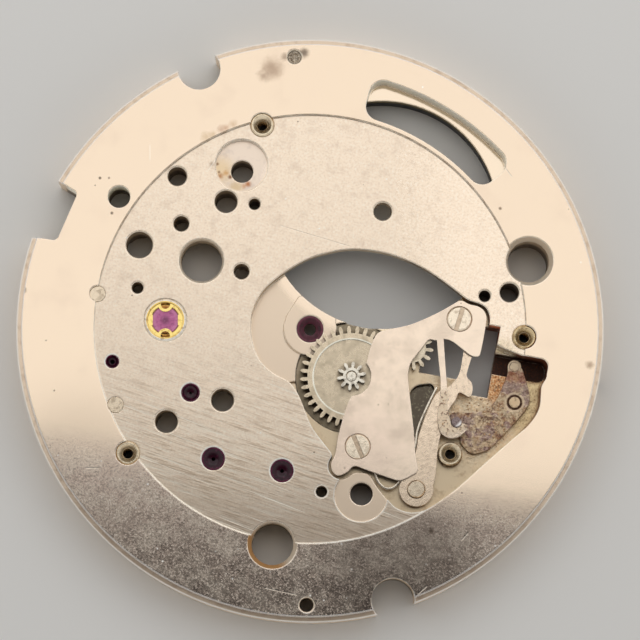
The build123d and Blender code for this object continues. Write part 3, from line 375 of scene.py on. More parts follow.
COUNTERBORE_RUST = (
    # pixel, radius, fade, colour, strength
    ((221, 170), 0.55, 0.4, (236, 204, 150), 0.6),
    ((236, 188), 0.3, 0.2, (214, 182, 124), 0.6),
    ((217, 164), 0.07, 0.06, (120, 72, 32), 0.85),
    ((220, 176), 0.12, 0.12, (176, 112, 62), 0.75),
    ((219, 172), 0.05, 0.05, (112, 60, 28), 0.8),
    ((230, 177), 0.08, 0.07, (118, 62, 24), 0.9),
    ((226, 173), 0.1, 0.12, (206, 150, 84), 0.7),
    ((248, 184), 0.12, 0.1, (182, 106, 44), 0.85),
    ((244, 186), 0.1, 0.1, (206, 140, 80), 0.6),
)

SCRATCHES = [
    # the pixels of both ends, and the width
    ((150, 145), (150, 160), 0.03),
    ((503, 165), (512, 177), 0.03),
    ((462, 540), (468, 533), 0.04),
    ((418, 594), (427, 586), 0.05),
    ((280, 225), (350, 246), 0.02),
    ((208, 170), (216, 158), 0.04),
    ((330, 270), (385, 262), 0.015),
    ((86, 468), (98, 468), 0.03),
    ((265, 588), (297, 595), 0.03),
]


def scratch(finish, first, last, width):
    """A thin straight mark between two places."""
    start = Vector(first)
    run = Vector(last) - start
    along = run.normalized()
    across = Vector((-along.y, along.x, 0))
    offset = finish.node("VectorMath", finish.at, tuple(start), operation="SUBTRACT")
    distance = finish.node("VectorMath", offset, tuple(along), operation="DOT_PRODUCT", out=1)
    aside = finish.node("VectorMath", offset, tuple(across), operation="DOT_PRODUCT", out=1)
    aside = finish.maths("ABSOLUTE", aside)
    inside = finish.band(distance, 0.0, run.length, 0.05)
    return finish.times(inside, finish.soft(aside, width, width / 4))


def plate_finish():
    """Nickel on brass: a smooth ring, a satin disc, pale floors, rust and dirt in the works, painted shade
    and painted highlights.
    """
    finish = Finish("plate_nickel", (246, 224, 198), 0.1, edge=0.09)
    flat = finish.topside()
    ring = finish.times(flat, finish.soft(finish.z, RING_TOP - 0.08, RING_TOP - 0.04))
    rim = finish.soft(finish.away(AXIS), PLATE_RADIUS - 0.34, PLATE_RADIUS - 0.3)
    rim = finish.times(flat, rim, finish.less(ring))
    disc = finish.soft(finish.z, DISC_TOP - 0.08, DISC_TOP - 0.04)
    disc = finish.times(flat, disc, finish.less(ring))
    deep = finish.soft(finish.z, DISC_TOP - 0.1, DISC_TOP - 0.2)
    floors = finish.times(deep, flat, finish.soft(finish.z, 0.7, 0.8), finish.less(rim))
    walls = finish.upright(0.15, 0.45)
    bevels = finish.times(finish.band(finish.up, 0.3, 0.75, 0.08), finish.soft(finish.z, 1.7, 1.8))
    mottle = finish.noise(0.45, 4.0, 0.65, shift=5.0)
    works = finish.near(place(WORKS_PX, FLOOR_LEVEL), WORKS_REACH, 0.3)

    plate_ring(finish, ring)
    plate_disc(finish, disc, mottle)
    plate_floors(finish, flat, floors, works, mottle)
    plate_bowl(finish, floors)
    plate_walls(finish, walls, works, mottle)
    finish.tint((244, 228, 204), bevels, 0.8)
    finish.dull(bevels, 0.6)
    plate_pocket(finish, floors, walls)
    soil_and_shade_plate(finish, mottle, floors, walls, bevels)
    mark_shade_and_highlight_plate(finish, mottle, ring, disc)
    plate_rim(finish, rim, mottle)
    plate_underside(finish, mottle)
    wear_and_highlight_edges(finish, (255, 246, 228), 0.85, 0.14)
    feet_rust_shade_and_crest_highlight(finish, floors, walls)
    plate_brink(finish)
    return finish.close()


def plate_ring(finish, ring):
    """The smooth raised ring: faint clouds, and on its lower side painted shade, with haze, scuffs and
    specks.
    """
    down = finish.toward(PICTURE_UP + PICTURE_RIGHT * 0.15)
    lower = finish.times(ring, finish.soft(down, -6.0, -8.8))
    clouds = finish.noise(2.2, 4.0)
    grain = finish.noise(0.09, 3.0, 0.7, shift=7.0)
    flecks = finish.noise(0.26, 4.0, 0.75, shift=27.0)
    patches = finish.noise(0.9, 4.0, 0.65, shift=21.0)
    specks, chance = finish.scatter(0.34, 2.0)
    finish.tint((230, 206, 183), ring, finish.soft(clouds, 0.5, 0.75), 0.3)
    # painted shade: the ring's lower side is greyed
    finish.tint((196, 186, 178), lower, 0.5)
    finish.roughen(0.14, lower)
    finish.roughen(0.2, lower, finish.soft(patches, 0.36, 0.66))
    finish.roughen(0.34, lower, finish.soft(flecks, 0.48, 0.66), 0.5)
    finish.roughen(0.46, lower, finish.soft(grain, 0.52, 0.66), 0.6)
    pitted = finish.soft(specks, 0.12, 0.05)
    finish.roughen(0.65, lower, pitted, finish.soft(chance, 0.72, 0.8))
    finish.tint((190, 160, 146), lower, finish.soft(patches, 0.6, 0.4), 0.3)
    finish.tint((118, 108, 102), lower, finish.soft(grain, 0.48, 0.36), 0.5)
    finish.tint((255, 242, 228), lower, finish.soft(grain, 0.53, 0.66), 0.5)
    dots = finish.times(lower, finish.soft(specks, 0.2, 0.1), finish.soft(chance, 0.9, 0.93))
    finish.tint((255, 250, 242), dots, 0.9)
    finish.dull(dots, 0.6)
    # painted shade: a darker patch low on the ring
    dusk = finish.near(place(DUSK_PX, RING_TOP), 3.3, 1.6, flecks, 0.8)
    finish.tint((120, 108, 98), lower, dusk, 0.5)
    haze = finish.near(place(HAZE_PX, RING_TOP), 2.8, 2.4)
    finish.roughen(0.2, ring, haze, 0.8)
    finish.lift(0.0014, lower, grain)
    finish.lift(0.0016, lower, flecks)
    finish.lift(0.0008, ring, patches)
    finish.lift(-0.002, lower, finish.soft(specks, 0.12, 0.04))


def plate_disc(finish, disc, mottle):
    """The satin disc: a fine even grain, strokes and scratches that show towards its lower side, and
    painted shade there.
    """
    stroke = math.radians(-7)
    up = finish.toward(PICTURE_UP)
    low = finish.maths("MULTIPLY_ADD", finish.soft(up, 0.5, -7.0), 0.92, 0.06)
    grain = finish.noise(0.11, 2.0, 0.6, shift=17.0)
    fine = finish.noise((1.1, 0.07, 0.4), 2.0, 0.6, turn=stroke, shift=9.0)
    long = finish.noise((4.0, 0.13, 0.4), 3.0, 0.65, turn=stroke * 1.3, shift=4.0)
    thin = finish.noise((6.0, 0.07, 0.4), 1.0, 0.5, turn=stroke * 1.6, shift=33.0)
    across = finish.noise((0.07, 1.8, 0.4), 2.0, 0.5, turn=math.radians(24), shift=15.0)
    shown = finish.times(disc, low)
    finish.tint((252, 232, 208), disc, 0.9)
    finish.tint((218, 196, 172), disc, finish.soft(grain, 0.5, 0.68), 0.35)
    finish.tint((255, 246, 230), disc, finish.soft(grain, 0.48, 0.32), 0.5)
    finish.tint((226, 202, 180), disc, finish.soft(mottle, 0.48, 0.7), 0.3)
    finish.tint((182, 160, 136), shown, finish.soft(long, 0.53, 0.68), 0.5)
    finish.tint((255, 248, 232), shown, finish.soft(long, 0.45, 0.32), 0.6)
    finish.tint((192, 168, 142), shown, finish.soft(fine, 0.52, 0.68), 0.7)
    finish.tint((255, 246, 228), shown, finish.soft(fine, 0.46, 0.34), 0.5)
    # painted shade: the disc greys towards its lower side
    finish.tint((176, 158, 140), disc, finish.soft(up, -5.0, -10.0), 0.45)
    finish.roughen(0.28, disc)
    finish.roughen(0.36, disc, finish.soft(mottle, 0.5, 0.75))
    aside = finish.soft(finish.toward(PICTURE_RIGHT), 3.5, 8.5)
    finish.roughen(0.14, disc, aside, finish.soft(up, -4.5, -1.0))
    scratches = finish.times(shown, finish.soft(thin, 0.66, 0.72))
    finish.tint((255, 250, 236), scratches, 0.8)
    finish.roughen(0.5, scratches)
    finish.lift(0.002, disc, grain)
    finish.lift(0.0012, disc, fine)
    finish.lift(0.0016, shown, fine)
    finish.lift(0.002, shown, long)
    finish.lift(-0.002, scratches)
    finish.lift(-0.001, disc, finish.soft(across, 0.62, 0.75))


def plate_floors(finish, flat, floors, works, mottle):
    """Pale floors, yellowed in the works, and the deep pocket below them painted near black as shade."""
    finish.tint((244, 222, 197), floors, 0.7)
    yellow = finish.times(floors, finish.soft(finish.z, 1.3, 1.2), works)
    finish.tint((234, 212, 176), yellow, 0.8)
    finish.tint((176, 144, 106), yellow, finish.soft(mottle, 0.48, 0.72), 0.5)
    well = finish.times(flat, works, finish.soft(finish.z, FLOOR_LEVEL - 0.05, FLOOR_LEVEL - 0.12))
    well = finish.times(well, finish.soft(finish.z, 0.25, 0.35))
    well_mottle = finish.noise(0.12, 3.0, 0.7, shift=37.0)
    # painted shade: the deep pocket below the works floor is near black, with lighter mottles
    finish.tint((38, 34, 26), well, 0.92)
    finish.tint((150, 144, 120), well, finish.soft(well_mottle, 0.56, 0.64), 0.6)
    barrel = finish.near(BARREL_PLACE, BARREL_RADIUS + 0.4, 0.3)
    finish.roughen(0.3, floors, finish.less(barrel))
    finish.lift(0.0015, floors, mottle)


def plate_bowl(finish, floors):
    """The turned floor round the minute wheel, with shade under the wheel's teeth."""
    minute = middle("minute_wheel")
    bowl = finish.times(floors, finish.near(minute, 2.7, 0.2))
    finish.lift(0.004, bowl, finish.rings(minute, 0.11))
    under_teeth = finish.times(floors, finish.band(finish.away(minute), 1.9, 2.3, 0.04))
    shade = finish.soft(finish.toward(PICTURE_UP, minute), 1.9, 0.3)
    shade = finish.maths("MULTIPLY_ADD", shade, 0.55, 0.3)
    finish.tint((62, 46, 34), under_teeth, shade)


def plate_walls(finish, walls, works, mottle):
    """Walls, with painted shade at their feet and lower down in the works, brown in the works, and the
    barrel chamber's side, black below.
    """
    step = finish.band(finish.away(AXIS), DISC_RADIUS - 0.06, DISC_RADIUS + 0.06, 0.02)
    inner = finish.soft(finish.away(AXIS), PLATE_RADIUS - 0.3, PLATE_RADIUS - 0.5)
    inner = finish.times(walls, finish.less(step), inner)
    worked = finish.times(inner, works)
    finish.tint((236, 214, 182), inner, 0.7)
    # painted shade: walls darken towards their feet
    finish.tint((70, 54, 40), inner, finish.soft(finish.z, 1.5, 0.8), 0.8)
    finish.tint((170, 142, 108), worked, 0.7)
    # painted shade: the works' walls darken lower down
    finish.tint((84, 58, 38), worked, finish.soft(finish.z, 1.9, 1.2), 0.65)
    finish.tint((70, 50, 34), worked, finish.soft(mottle, 0.46, 0.7), 0.7)
    finish.roughen(0.4, walls)
    chamber = finish.away(BARREL_PLACE)
    chamber = finish.band(chamber, BARREL_RADIUS - 0.2, BARREL_RADIUS + 0.12, 0.05)
    chamber = finish.times(chamber, walls, finish.soft(finish.z, 1.5, 1.4))
    finish.tint((140, 118, 54), chamber, 0.9)
    # painted shade: the chamber's wall is near black lower down
    finish.tint((18, 15, 9), chamber, finish.soft(finish.z, 0.95, 0.75))


def plate_pocket(finish, floors, walls):
    """The kidney-shaped pocket in the ring: a wall painted near white as light, and a smooth pale floor."""
    radius = finish.away(AXIS)
    pocket = finish.soft(finish.toward(PICTURE_UP), 4.0, 5.0)
    pocket = finish.times(pocket, finish.soft(radius, 10.4, 10.6))
    pocket = finish.times(pocket, finish.soft(radius, 13.6, 13.4), finish.soft(finish.z, 1.16, 1.2))
    # painted light: the pocket's wall is near white and dull, so that it looks lit
    finish.tint((255, 250, 234), pocket, walls)
    finish.tint((250, 230, 204), pocket, floors, 0.9)
    finish.roughen(0.1, pocket, floors)
    finish.dull(pocket, walls)


def soil_and_shade_plate(finish, mottle, floors, walls, bevels):
    """Rust and dried oil in the works and round the stem, with painted shade in pit and slot and a
    highlight on the counterbore.
    """
    wear = finish.noise(0.8, 4.0, 0.6, shift=11.0)
    grit = finish.noise(0.1, 3.0, 0.65, shift=31.0)
    works = soil_works(finish, mottle, floors, wear, grit)
    pit = rust_and_shade_pit(finish, floors, wear, grit)
    shelf = rust_shelf(finish, floors, wear, grit)
    rust_and_shade_slot(finish, walls, grit)
    dust_ledge(finish, wear, grit)
    rough = finish.most(works, pit, shelf)
    finish.lift(0.012, rough, finish.soft(mottle, 0.4, 0.7))
    finish.lift(0.008, rough, grit)
    counterbore_rust_and_highlight(finish, mottle, grit, floors, walls)
    rust_lower_bore(finish, bevels)


def soil_works(finish, mottle, floors, wear, grit):
    """The pale crust on the works floor, and yellow oil beside the lever."""
    below = finish.soft(finish.z, DISC_TOP - 0.1, DISC_TOP - 0.3)
    above = finish.soft(finish.z, FLOOR_LEVEL - 0.08, FLOOR_LEVEL - 0.04)
    works = finish.near(place(WORKS_STAIN_PX, FLOOR_LEVEL), 2.7, 0.9, wear, 2.0)
    works = finish.times(works, below, above)
    finish.tint((250, 216, 172), works, finish.soft(mottle, 0.34, 0.6), 0.8)
    finish.tint((255, 238, 210), works, finish.soft(grit, 0.5, 0.6), 0.8)
    finish.tint((128, 92, 56), works, finish.soft(grit, 0.4, 0.32), 0.6)
    finish.roughen(0.42, works, 0.8)
    finish.dull(works, 0.15)
    oil = finish.near(place(OIL_PX, FLOOR_LEVEL), 1.7, 0.5, wear, 1.2)
    oil = finish.times(oil, floors)
    finish.tint((246, 220, 170), oil, 0.9)
    finish.tint((168, 128, 84), oil, finish.soft(grit, 0.52, 0.64), 0.6)
    return works


def rust_and_shade_pit(finish, floors, wear, grit):
    """The dark rusty pit at the lever's nose, darkened lower down as painted shade."""
    pit = finish.near(place(PIT_PX, FLOOR_LEVEL), 2.05, 0.25, wear, 0.7)
    pit = finish.times(pit, finish.less(floors), finish.soft(finish.z, DISC_TOP - 0.06, DISC_TOP - 0.2))
    pit = finish.times(pit, finish.soft(finish.up, -0.8, -0.5))
    finish.tint((112, 58, 34), pit, 0.85)
    # painted shade: the pit darkens lower down
    finish.tint((64, 32, 20), pit, finish.soft(finish.z, 1.0, 0.7), 0.8)
    finish.tint((140, 78, 42), pit, finish.soft(grit, 0.52, 0.64), 0.6)
    finish.roughen(0.6, pit, 0.9)
    finish.dull(pit, 0.6)
    return pit


def rust_shelf(finish, floors, wear, grit):
    """The orange shelf under the lever."""
    shelf = finish.near(place(SHELF_PX, FLOOR_LEVEL), 0.85, 0.3, wear, 0.7)
    shelf = finish.times(shelf, floors)
    finish.tint((208, 132, 70), shelf, 0.85)
    finish.tint((250, 214, 166), shelf, finish.soft(grit, 0.48, 0.56), 0.8)
    finish.tint((96, 46, 24), shelf, finish.soft(grit, 0.4, 0.33), 0.8)
    return shelf


def rust_and_shade_slot(finish, walls, grit):
    """Orange rust on the slot's walls, darkened lower down as painted shade, and brown on the lip of the
    pit.
    """
    slot = finish.times(finish.near(place(SLOT_PX, SLOT_LEVEL), 0.85, 0.15), walls)
    finish.tint((255, 156, 96), slot, 0.95)
    finish.tint((168, 70, 38), slot, finish.soft(grit, 0.48, 0.6), 0.7)
    # painted shade: the slot's walls darken lower down
    finish.tint((60, 24, 14), slot, finish.soft(finish.z, 1.5, 1.0), 0.8)
    finish.dull(slot)
    lip = finish.band(finish.away(place(PIT_LIP_PX, SLOT_LEVEL)), 0.6, 1.75, 0.1)
    finish.tint((150, 70, 36), lip, walls, finish.soft(finish.z, 1.7, 1.9), 0.8)


def dust_ledge(finish, wear, grit):
    """The pale ledge between the slot and the pit."""
    ledge = finish.near(place(LEDGE_PX, LEDGE_LEVEL), 0.6, 0.2, wear, 0.4)
    under_top = finish.less(finish.soft(finish.z, 2.0, 2.1))
    ledge = finish.times(ledge, finish.soft(finish.z, 0.6, 0.8), under_top)
    finish.tint((246, 226, 188), ledge, 0.9)
    finish.tint((170, 136, 118), ledge, finish.soft(grit, 0.52, 0.62), 0.8)
    finish.roughen(0.3, ledge)


def counterbore_rust_and_highlight(finish, mottle, grit, floors, walls):
    """The pale counterbore at the upper left, its wall a painted highlight, with spots of rust on its left
    and lower sides.
    """
    centre = place(COUNTERBORE_PX, COUNTERBORE_LEVEL)
    basin = finish.times(finish.near(centre, 1.22, 0.04), floors)
    finish.tint((244, 226, 208), basin, 0.8)
    finish.tint((214, 196, 182), basin, finish.soft(mottle, 0.48, 0.66), 0.5)
    # painted highlight: the counterbore's wall is near white and dull
    side = finish.times(finish.near(centre, 1.35, 0.04), walls, finish.soft(finish.z, 1.6, 1.7))
    finish.tint((255, 246, 232), side, 0.9)
    finish.dull(side, 0.8)
    for pixel, reach, fade, colour, strength in COUNTERBORE_RUST:
        rust = finish.near(place(pixel, COUNTERBORE_LEVEL), reach, fade, grit, fade * 1.5)
        finish.tint(colour, rust, basin, strength)


def rust_lower_bore(finish, bevels):
    """A tan stain on one side of the bevel round the lower bore."""
    bore = place(LOWER_BORE_PX, DISC_TOP)
    stained = finish.times(finish.near(bore, 1.5, 0.1), bevels)
    way = (PICTURE_RIGHT + PICTURE_UP) / math.sqrt(2)
    side = finish.soft(finish.toward(way, bore), 0.1, -0.6)
    finish.tint((206, 146, 74), stained, side, 0.85)


def mark_shade_and_highlight_plate(finish, mottle, ring, disc):
    """Stains, scratches, specks, painted highlights at the jewels' mouths, and the disc-ring line in
    painted shade and highlight.
    """
    top = finish.most(ring, disc)
    for pixel, level, radius, fade, colour, strength in STAINS:
        patch = finish.near(place(pixel, level), radius, fade, mottle, fade * 2)
        finish.tint(colour, patch, top, strength)
    mark_scratches(finish, top)
    mark_specks(finish, top)
    paint_mouth_highlights(finish)
    paint_line_shade_and_highlight(finish, top, mottle)


def mark_scratches(finish, top):
    """Thin bright scratches on the ring and the disc."""
    marks = []
    for first, last, width in SCRATCHES:
        marks.append(scratch(finish, place(first, RING_TOP), place(last, RING_TOP), width))
    marks = finish.times(finish.most(*marks), top)
    finish.tint((255, 246, 230), marks, 0.5)
    finish.lift(-0.004, marks)


def mark_specks(finish, top):
    """Small dark and bright specks."""
    dots, chance = finish.scatter(0.9, 4.0)
    dark = finish.times(finish.soft(dots, 0.055, 0.03), finish.soft(chance, 0.84, 0.88))
    light = finish.times(finish.soft(dots, 0.05, 0.03), finish.soft(chance, 0.16, 0.12))
    finish.tint((96, 78, 60), dark, top, 0.75)
    finish.tint((255, 252, 244), light, top, 0.9)


def paint_mouth_highlights(finish):
    """A painted highlight: a bright crescent at the upper left of each small jewel."""
    way = (PICTURE_UP - PICTURE_RIGHT * 0.6).normalized()
    mouths = []
    for name in JEWELS:
        radius = half_width(name)
        mouth = finish.band(finish.away(middle(name)), radius - 0.02, radius + 0.075, 0.02)
        side = finish.toward(way, middle(name))
        mouths.append(finish.times(mouth, finish.soft(side, -radius, radius * 0.6)))
    mouths = finish.times(finish.most(*mouths), finish.topside())
    # painted highlight on the jewels' mouths
    finish.tint((255, 251, 240), mouths)
    finish.dull(mouths, 0.7)


def paint_line_shade_and_highlight(finish, top, mottle):
    """The line between the disc and the ring: brown painted shade in its upper part and a painted highlight
    in its lower.
    """
    line = finish.band(finish.away(AXIS), DISC_RADIUS - 0.03, DISC_RADIUS + 0.02, 0.015)
    line = finish.times(line, top)
    upper = finish.soft(finish.y, -4.0, 1.0)
    # painted shade: the line's upper part
    finish.tint((128, 102, 76), line, upper, finish.soft(mottle, 0.3, 0.5), 0.75)
    # painted highlight: the line's lower part
    finish.tint((255, 248, 232), line, finish.less(upper), 0.8)


def plate_rim(finish, rim, mottle):
    """The low rim round the ring, and a painted highlight on the corner outside it."""
    finish.tint((226, 204, 180), rim, 0.7)
    finish.tint((160, 134, 110), rim, finish.soft(mottle, 0.46, 0.7), 0.4)
    finish.dull(rim, 0.45)
    outer = finish.soft(finish.away(AXIS), PLATE_RADIUS - 0.1, PLATE_RADIUS - 0.05)
    outer = finish.times(finish.soft(finish.up, 0.1, 0.3), outer)
    # painted highlight on the outer corner
    finish.tint((255, 246, 232), outer, 0.9)
    finish.dull(outer, 0.7)


def plate_underside(finish, mottle):
    """The turned underside, yellower and less bright."""
    under = finish.soft(finish.up, -0.4, -0.8)
    finish.tint((206, 190, 160), under, 0.7)
    finish.tint((164, 140, 104), under, finish.soft(mottle, 0.45, 0.7), 0.25)
    finish.roughen(0.36, under)
    finish.lift(0.003, under, finish.rings(AXIS, 0.14))


def feet_rust_shade_and_crest_highlight(finish, floors, walls):
    """Rust along the wall's foot behind the lever, also painted shade there, and a painted highlight on the
    recess edge by the cover.
    """
    wide = finish.node("Bevel", WIDE_EDGE * MM, samples=EDGE_SAMPLES)
    turned = finish.node("VectorMath", wide, finish.facing, operation="DOT_PRODUCT", out=1)
    foot = finish.times(floors, finish.soft(finish.less(turned), 0.003, 0.06))
    below = finish.soft(finish.z, DISC_TOP - 0.1, DISC_TOP - 0.3)
    corner = finish.near(place(CORNER_PX, FLOOR_LEVEL), 1.9, 0.4)
    # rust and painted shade along the wall's foot
    finish.tint((118, 64, 30), corner, below, finish.most(foot, walls), 0.85)
    crest = finish.near(place(CREST_PX, DISC_TOP), 3.6, 0.4)
    crest = finish.times(finish.edges(0.002, 0.03), crest)
    crest = finish.times(crest, finish.soft(finish.z, DISC_TOP - 0.12, DISC_TOP - 0.05))
    # painted highlight on the recess edge
    finish.tint((255, 250, 238), crest)
    finish.dull(crest, 0.8)


def plate_brink(finish):
    """Painted highlights on the thin edges of the ring and the rim."""
    brink = finish.soft(finish.away(AXIS), PLATE_RADIUS - 0.5, PLATE_RADIUS - 0.4)
    brink = finish.times(finish.edges(0.002, 0.03), brink)
    # painted highlight on the thin edges
    finish.tint((255, 250, 244), brink, 0.9)
    finish.dull(brink, 0.7)


def cover_finish():
    """The smooth cover: pale, with faint clouds, a few pits and bright edges, walls in painted shade, and
    an eaten detent.
    """
    finish = Finish("cover_nickel", (250, 229, 206), 0.16)
    clouds = finish.noise(1.6, 4.0, shift=1.0)
    mottle = finish.noise(0.3, 4.0, 0.6, shift=2.0)
    finish.tint((232, 210, 188), finish.soft(clouds, 0.45, 0.7), 0.3)
    finish.tint((216, 190, 166), finish.soft(mottle, 0.58, 0.75), 0.25)
    low = finish.soft(finish.away(middle("cover_screw_lower")), 2.8, 1.0)
    finish.tint((238, 214, 196), low, 0.4)
    finish.roughen(0.26, finish.soft(clouds, 0.4, 0.7))
    streaks = finish.noise((0.05, 1.6, 0.4), 2.0, 0.5, turn=math.radians(-30))
    finish.lift(0.0006, streaks)
    finish.lift(0.001, mottle)
    eat_detent(finish, mottle)
    pits = finish.times(finish.soft(finish.cells(0.5), 0.09, 0.05), finish.topside(high=0.9))
    finish.tint((120, 96, 74), pits, 0.6)
    walls = finish.less(finish.soft(finish.up, 0.2, 0.5))
    sinks = finish.most(*[finish.near(middle(name), 0.75, 0.05) for name in COVER_SCREWS])
    # painted shade: the cover's walls are darkened, less so in the screw sinks
    finish.tint((110, 88, 68), walls, finish.less(sinks), 0.7)
    finish.tint((214, 194, 170), walls, sinks, 0.8)
    wear_and_highlight_edges(finish, (255, 244, 226), 0.85, 0.14)
    return finish.close()


def eat_detent(finish, mottle):
    """The detent's head: pale, and eaten by rust."""
    eaten = finish.noise(0.15, 4.0, 0.7, shift=5.0)
    head = finish.near(place(DETENT_HEAD_PX, COVER_TOP), 1.1, 0.25, mottle, 0.9)
    finish.tint((250, 226, 194), head, 0.85)
    finish.tint((120, 80, 60), head, finish.soft(eaten, 0.54, 0.62), 0.85)
    finish.tint((255, 244, 222), head, finish.soft(eaten, 0.44, 0.34), 0.9)
    finish.roughen(0.38, head)
    finish.dull(head, 0.25)
    finish.lift(0.012, head, eaten)


def steel_finish(name, colour, roughness, stain, amount, face=None):
    """Worked steel with fine scratches, stains and bright edges; walls and what lies below a head's face in
    painted shade.
    """
    finish = Finish(name, colour, roughness, edge=0.025)
    mottle = finish.noise(0.22, 4.0, 0.6, shift=3.0)
    lines = finish.noise((0.9, 0.02, 0.2), 2.0, 0.5, turn=math.radians(35))
    finish.tint(stain, finish.soft(mottle, 0.48, 0.7), amount)
    finish.tint((255, 240, 220), finish.soft(lines, 0.6, 0.75), 0.4)
    finish.roughen(roughness + 0.2, finish.soft(mottle, 0.45, 0.75))
    finish.lift(0.0012, lines)
    finish.lift(0.002, mottle)
    # painted shade: the walls are darkened
    finish.tint((112, 92, 74), finish.upright(), 0.55)
    if face is not None:
        # painted shade below a head's face
        finish.tint((186, 160, 132), finish.soft(finish.z, face - 0.02, face - 0.06), 0.7)
    wear_and_highlight_edges(finish, (255, 246, 230), 0.8, 0.12)
    return finish.close()


def turned_finish(name, colour, roughness, centre, pitch, stain=(140, 112, 78), amount=0.4):
    """A turned face: fine rings round a place, and walls darkened in the stain's colour as painted shade.
    """
    finish = Finish(name, colour, roughness, edge=0.02)
    rings = finish.rings(centre, pitch)
    mottle = finish.noise(0.2, 4.0, 0.6, shift=6.0)
    finish.tint((255, 244, 220), finish.soft(rings, 0.5, 0.75), 0.35)
    finish.tint(stain, finish.soft(mottle, 0.46, 0.7), amount)
    finish.roughen(roughness + 0.18, finish.soft(mottle, 0.45, 0.75))
    finish.lift(0.002, rings)
    finish.lift(0.0015, mottle)
    # painted shade: walls darkened in the stain's colour
    finish.tint(stain, finish.upright(), 0.4)
    wear_and_highlight_edges(finish, (255, 248, 230), 0.8, 0.12)
    return finish.close()


def jewel_finish(name, colour, bright, centre, inner, outer, dark=(16, 4, 10)):
    """A pressed jewel: dark wine-red stone with a clearer band at its rim."""
    finish = Finish(name, colour, 0.12, metallic=0.0, edge=0.03)
    radius = finish.away(centre)
    depth = finish.noise(0.16, 3.0, 0.6, shift=centre[0])
    finish.tint(bright, finish.band(radius, inner, outer, (outer - inner) / 3), 0.6)
    finish.tint(dark, finish.soft(depth, 0.5, 0.7), 0.6)
    finish.tint(bright, finish.soft(depth, 0.44, 0.3), 0.45)
    finish.roughen(0.3, finish.soft(depth, 0.5, 0.7))
    finish.lift(0.0016, depth)
    finish.make_ruby(0.16)
    return finish.close()


def pin_finish(centre):
    """The lever's pin: grey steel with a brown foot and a painted highlight on one side."""
    finish = Finish("lever_pin_steel", (150, 134, 132), 0.24, edge=0.05)
    grain = finish.noise(0.09, 3.0, 0.6, shift=6.0)
    finish.tint((96, 76, 70), finish.soft(grain, 0.5, 0.7), 0.6)
    # painted highlight on one side of the pin
    side = finish.soft(finish.toward((PICTURE_RIGHT - PICTURE_UP).normalized(), centre), 0.06, 0.16)
    finish.tint((252, 246, 242), side, 0.9)
    finish.roughen(0.4, finish.soft(grain, 0.45, 0.7))
    finish.lift(0.002, grain)
    wear_and_highlight_edges(finish, (110, 84, 70), 0.7, 0.3)
    return finish.close()


def rust_finish():
    """The setting lever: steel eaten by rust, speckled brown, tan, grey and purple; its walls and a pivot
    groove in painted shade.
    """
    finish = Finish("rusted_steel", (206, 178, 144), 0.42, metallic=0.6, edge=0.03)
    blots = finish.noise(0.5, 5.0, 0.65, shift=4.0)
    crumbs = finish.noise(0.11, 4.0, 0.75, shift=8.0)
    coarse = finish.noise(0.26, 4.0, 0.7, shift=19.0)
    scale = finish.cells(0.16)
    finish.tint((176, 128, 90), finish.soft(blots, 0.48, 0.6), 0.75)
    finish.tint((128, 90, 78), finish.soft(blots, 0.58, 0.68), 0.75)
    violet = finish.noise(0.7, 3.0, shift=13.0)
    finish.tint((164, 136, 140), finish.soft(violet, 0.5, 0.58), 0.6)
    finish.tint((106, 68, 52), finish.soft(coarse, 0.54, 0.62), 0.75)
    finish.tint((240, 216, 176), finish.soft(coarse, 0.46, 0.38), 0.65)
    finish.tint((252, 234, 200), finish.soft(crumbs, 0.55, 0.63), 0.7)
    finish.tint((58, 34, 28), finish.soft(crumbs, 0.44, 0.36), 0.8)
    rust_nose(finish, crumbs, coarse)
    pivot = finish.away(middle("setting_lever_screw"))
    # a pale ring round the pivot, and inside it a dark ring painted as the shade of a groove
    finish.tint((244, 220, 186), finish.band(pivot, 0.38, 0.48, 0.03), 0.7)
    finish.tint((72, 34, 20), finish.band(pivot, 0.27, 0.37, 0.02), 0.9)
    rough = finish.soft(blots, 0.4, 0.7)
    finish.roughen(0.62, rough)
    finish.dull(rough, 0.7, value=0.2)
    finish.lift(0.012, crumbs)
    finish.lift(0.016, coarse)
    finish.lift(0.003, finish.soft(scale, 0.4, 0.05))
    # painted shade: the lever's walls are darkened
    finish.tint((84, 52, 36), finish.upright(), 0.75)
    wear_and_highlight_edges(finish, (250, 226, 192), 0.6, 0.3)
    return finish.close()


def rust_nose(finish, crumbs, coarse):
    """The lever's nose: pale at its end, brown in a ragged band, and grey behind."""
    stud = middle("setting_lever_stud")
    below = finish.toward(-PICTURE_UP, stud)
    ragged = finish.maths("MULTIPLY_ADD", finish.maths("SUBTRACT", coarse, 0.5), 0.9, below)
    nose = finish.near(stud, 1.25, 0.2, crumbs, 0.3)
    finish.tint((236, 214, 180), nose, finish.soft(ragged, 0.4, 0.1), 0.85)
    finish.tint((158, 96, 66), nose, finish.band(ragged, 0.25, 0.75, 0.2), 0.65)
    finish.tint((190, 164, 146), nose, finish.soft(ragged, 0.75, 1.05), 0.5)


def gold_finish(name, colour, roughness, stain):
    """Polished gilt metal."""
    finish = Finish(name, colour, roughness, edge=0.02)
    mottle = finish.noise(0.18, 3.0, 0.6, shift=1.0)
    grain = finish.noise((0.4, 0.03, 0.1), 2.0, 0.5, turn=math.radians(60))
    finish.tint(stain, finish.soft(mottle, 0.5, 0.72), 0.5)
    finish.roughen(roughness + 0.15, finish.soft(mottle, 0.45, 0.7))
    finish.lift(0.0006, grain)
    finish.lift(0.001, mottle)
    wear_and_highlight_edges(finish, (255, 248, 214), 0.8, 0.1)
    return finish.close()


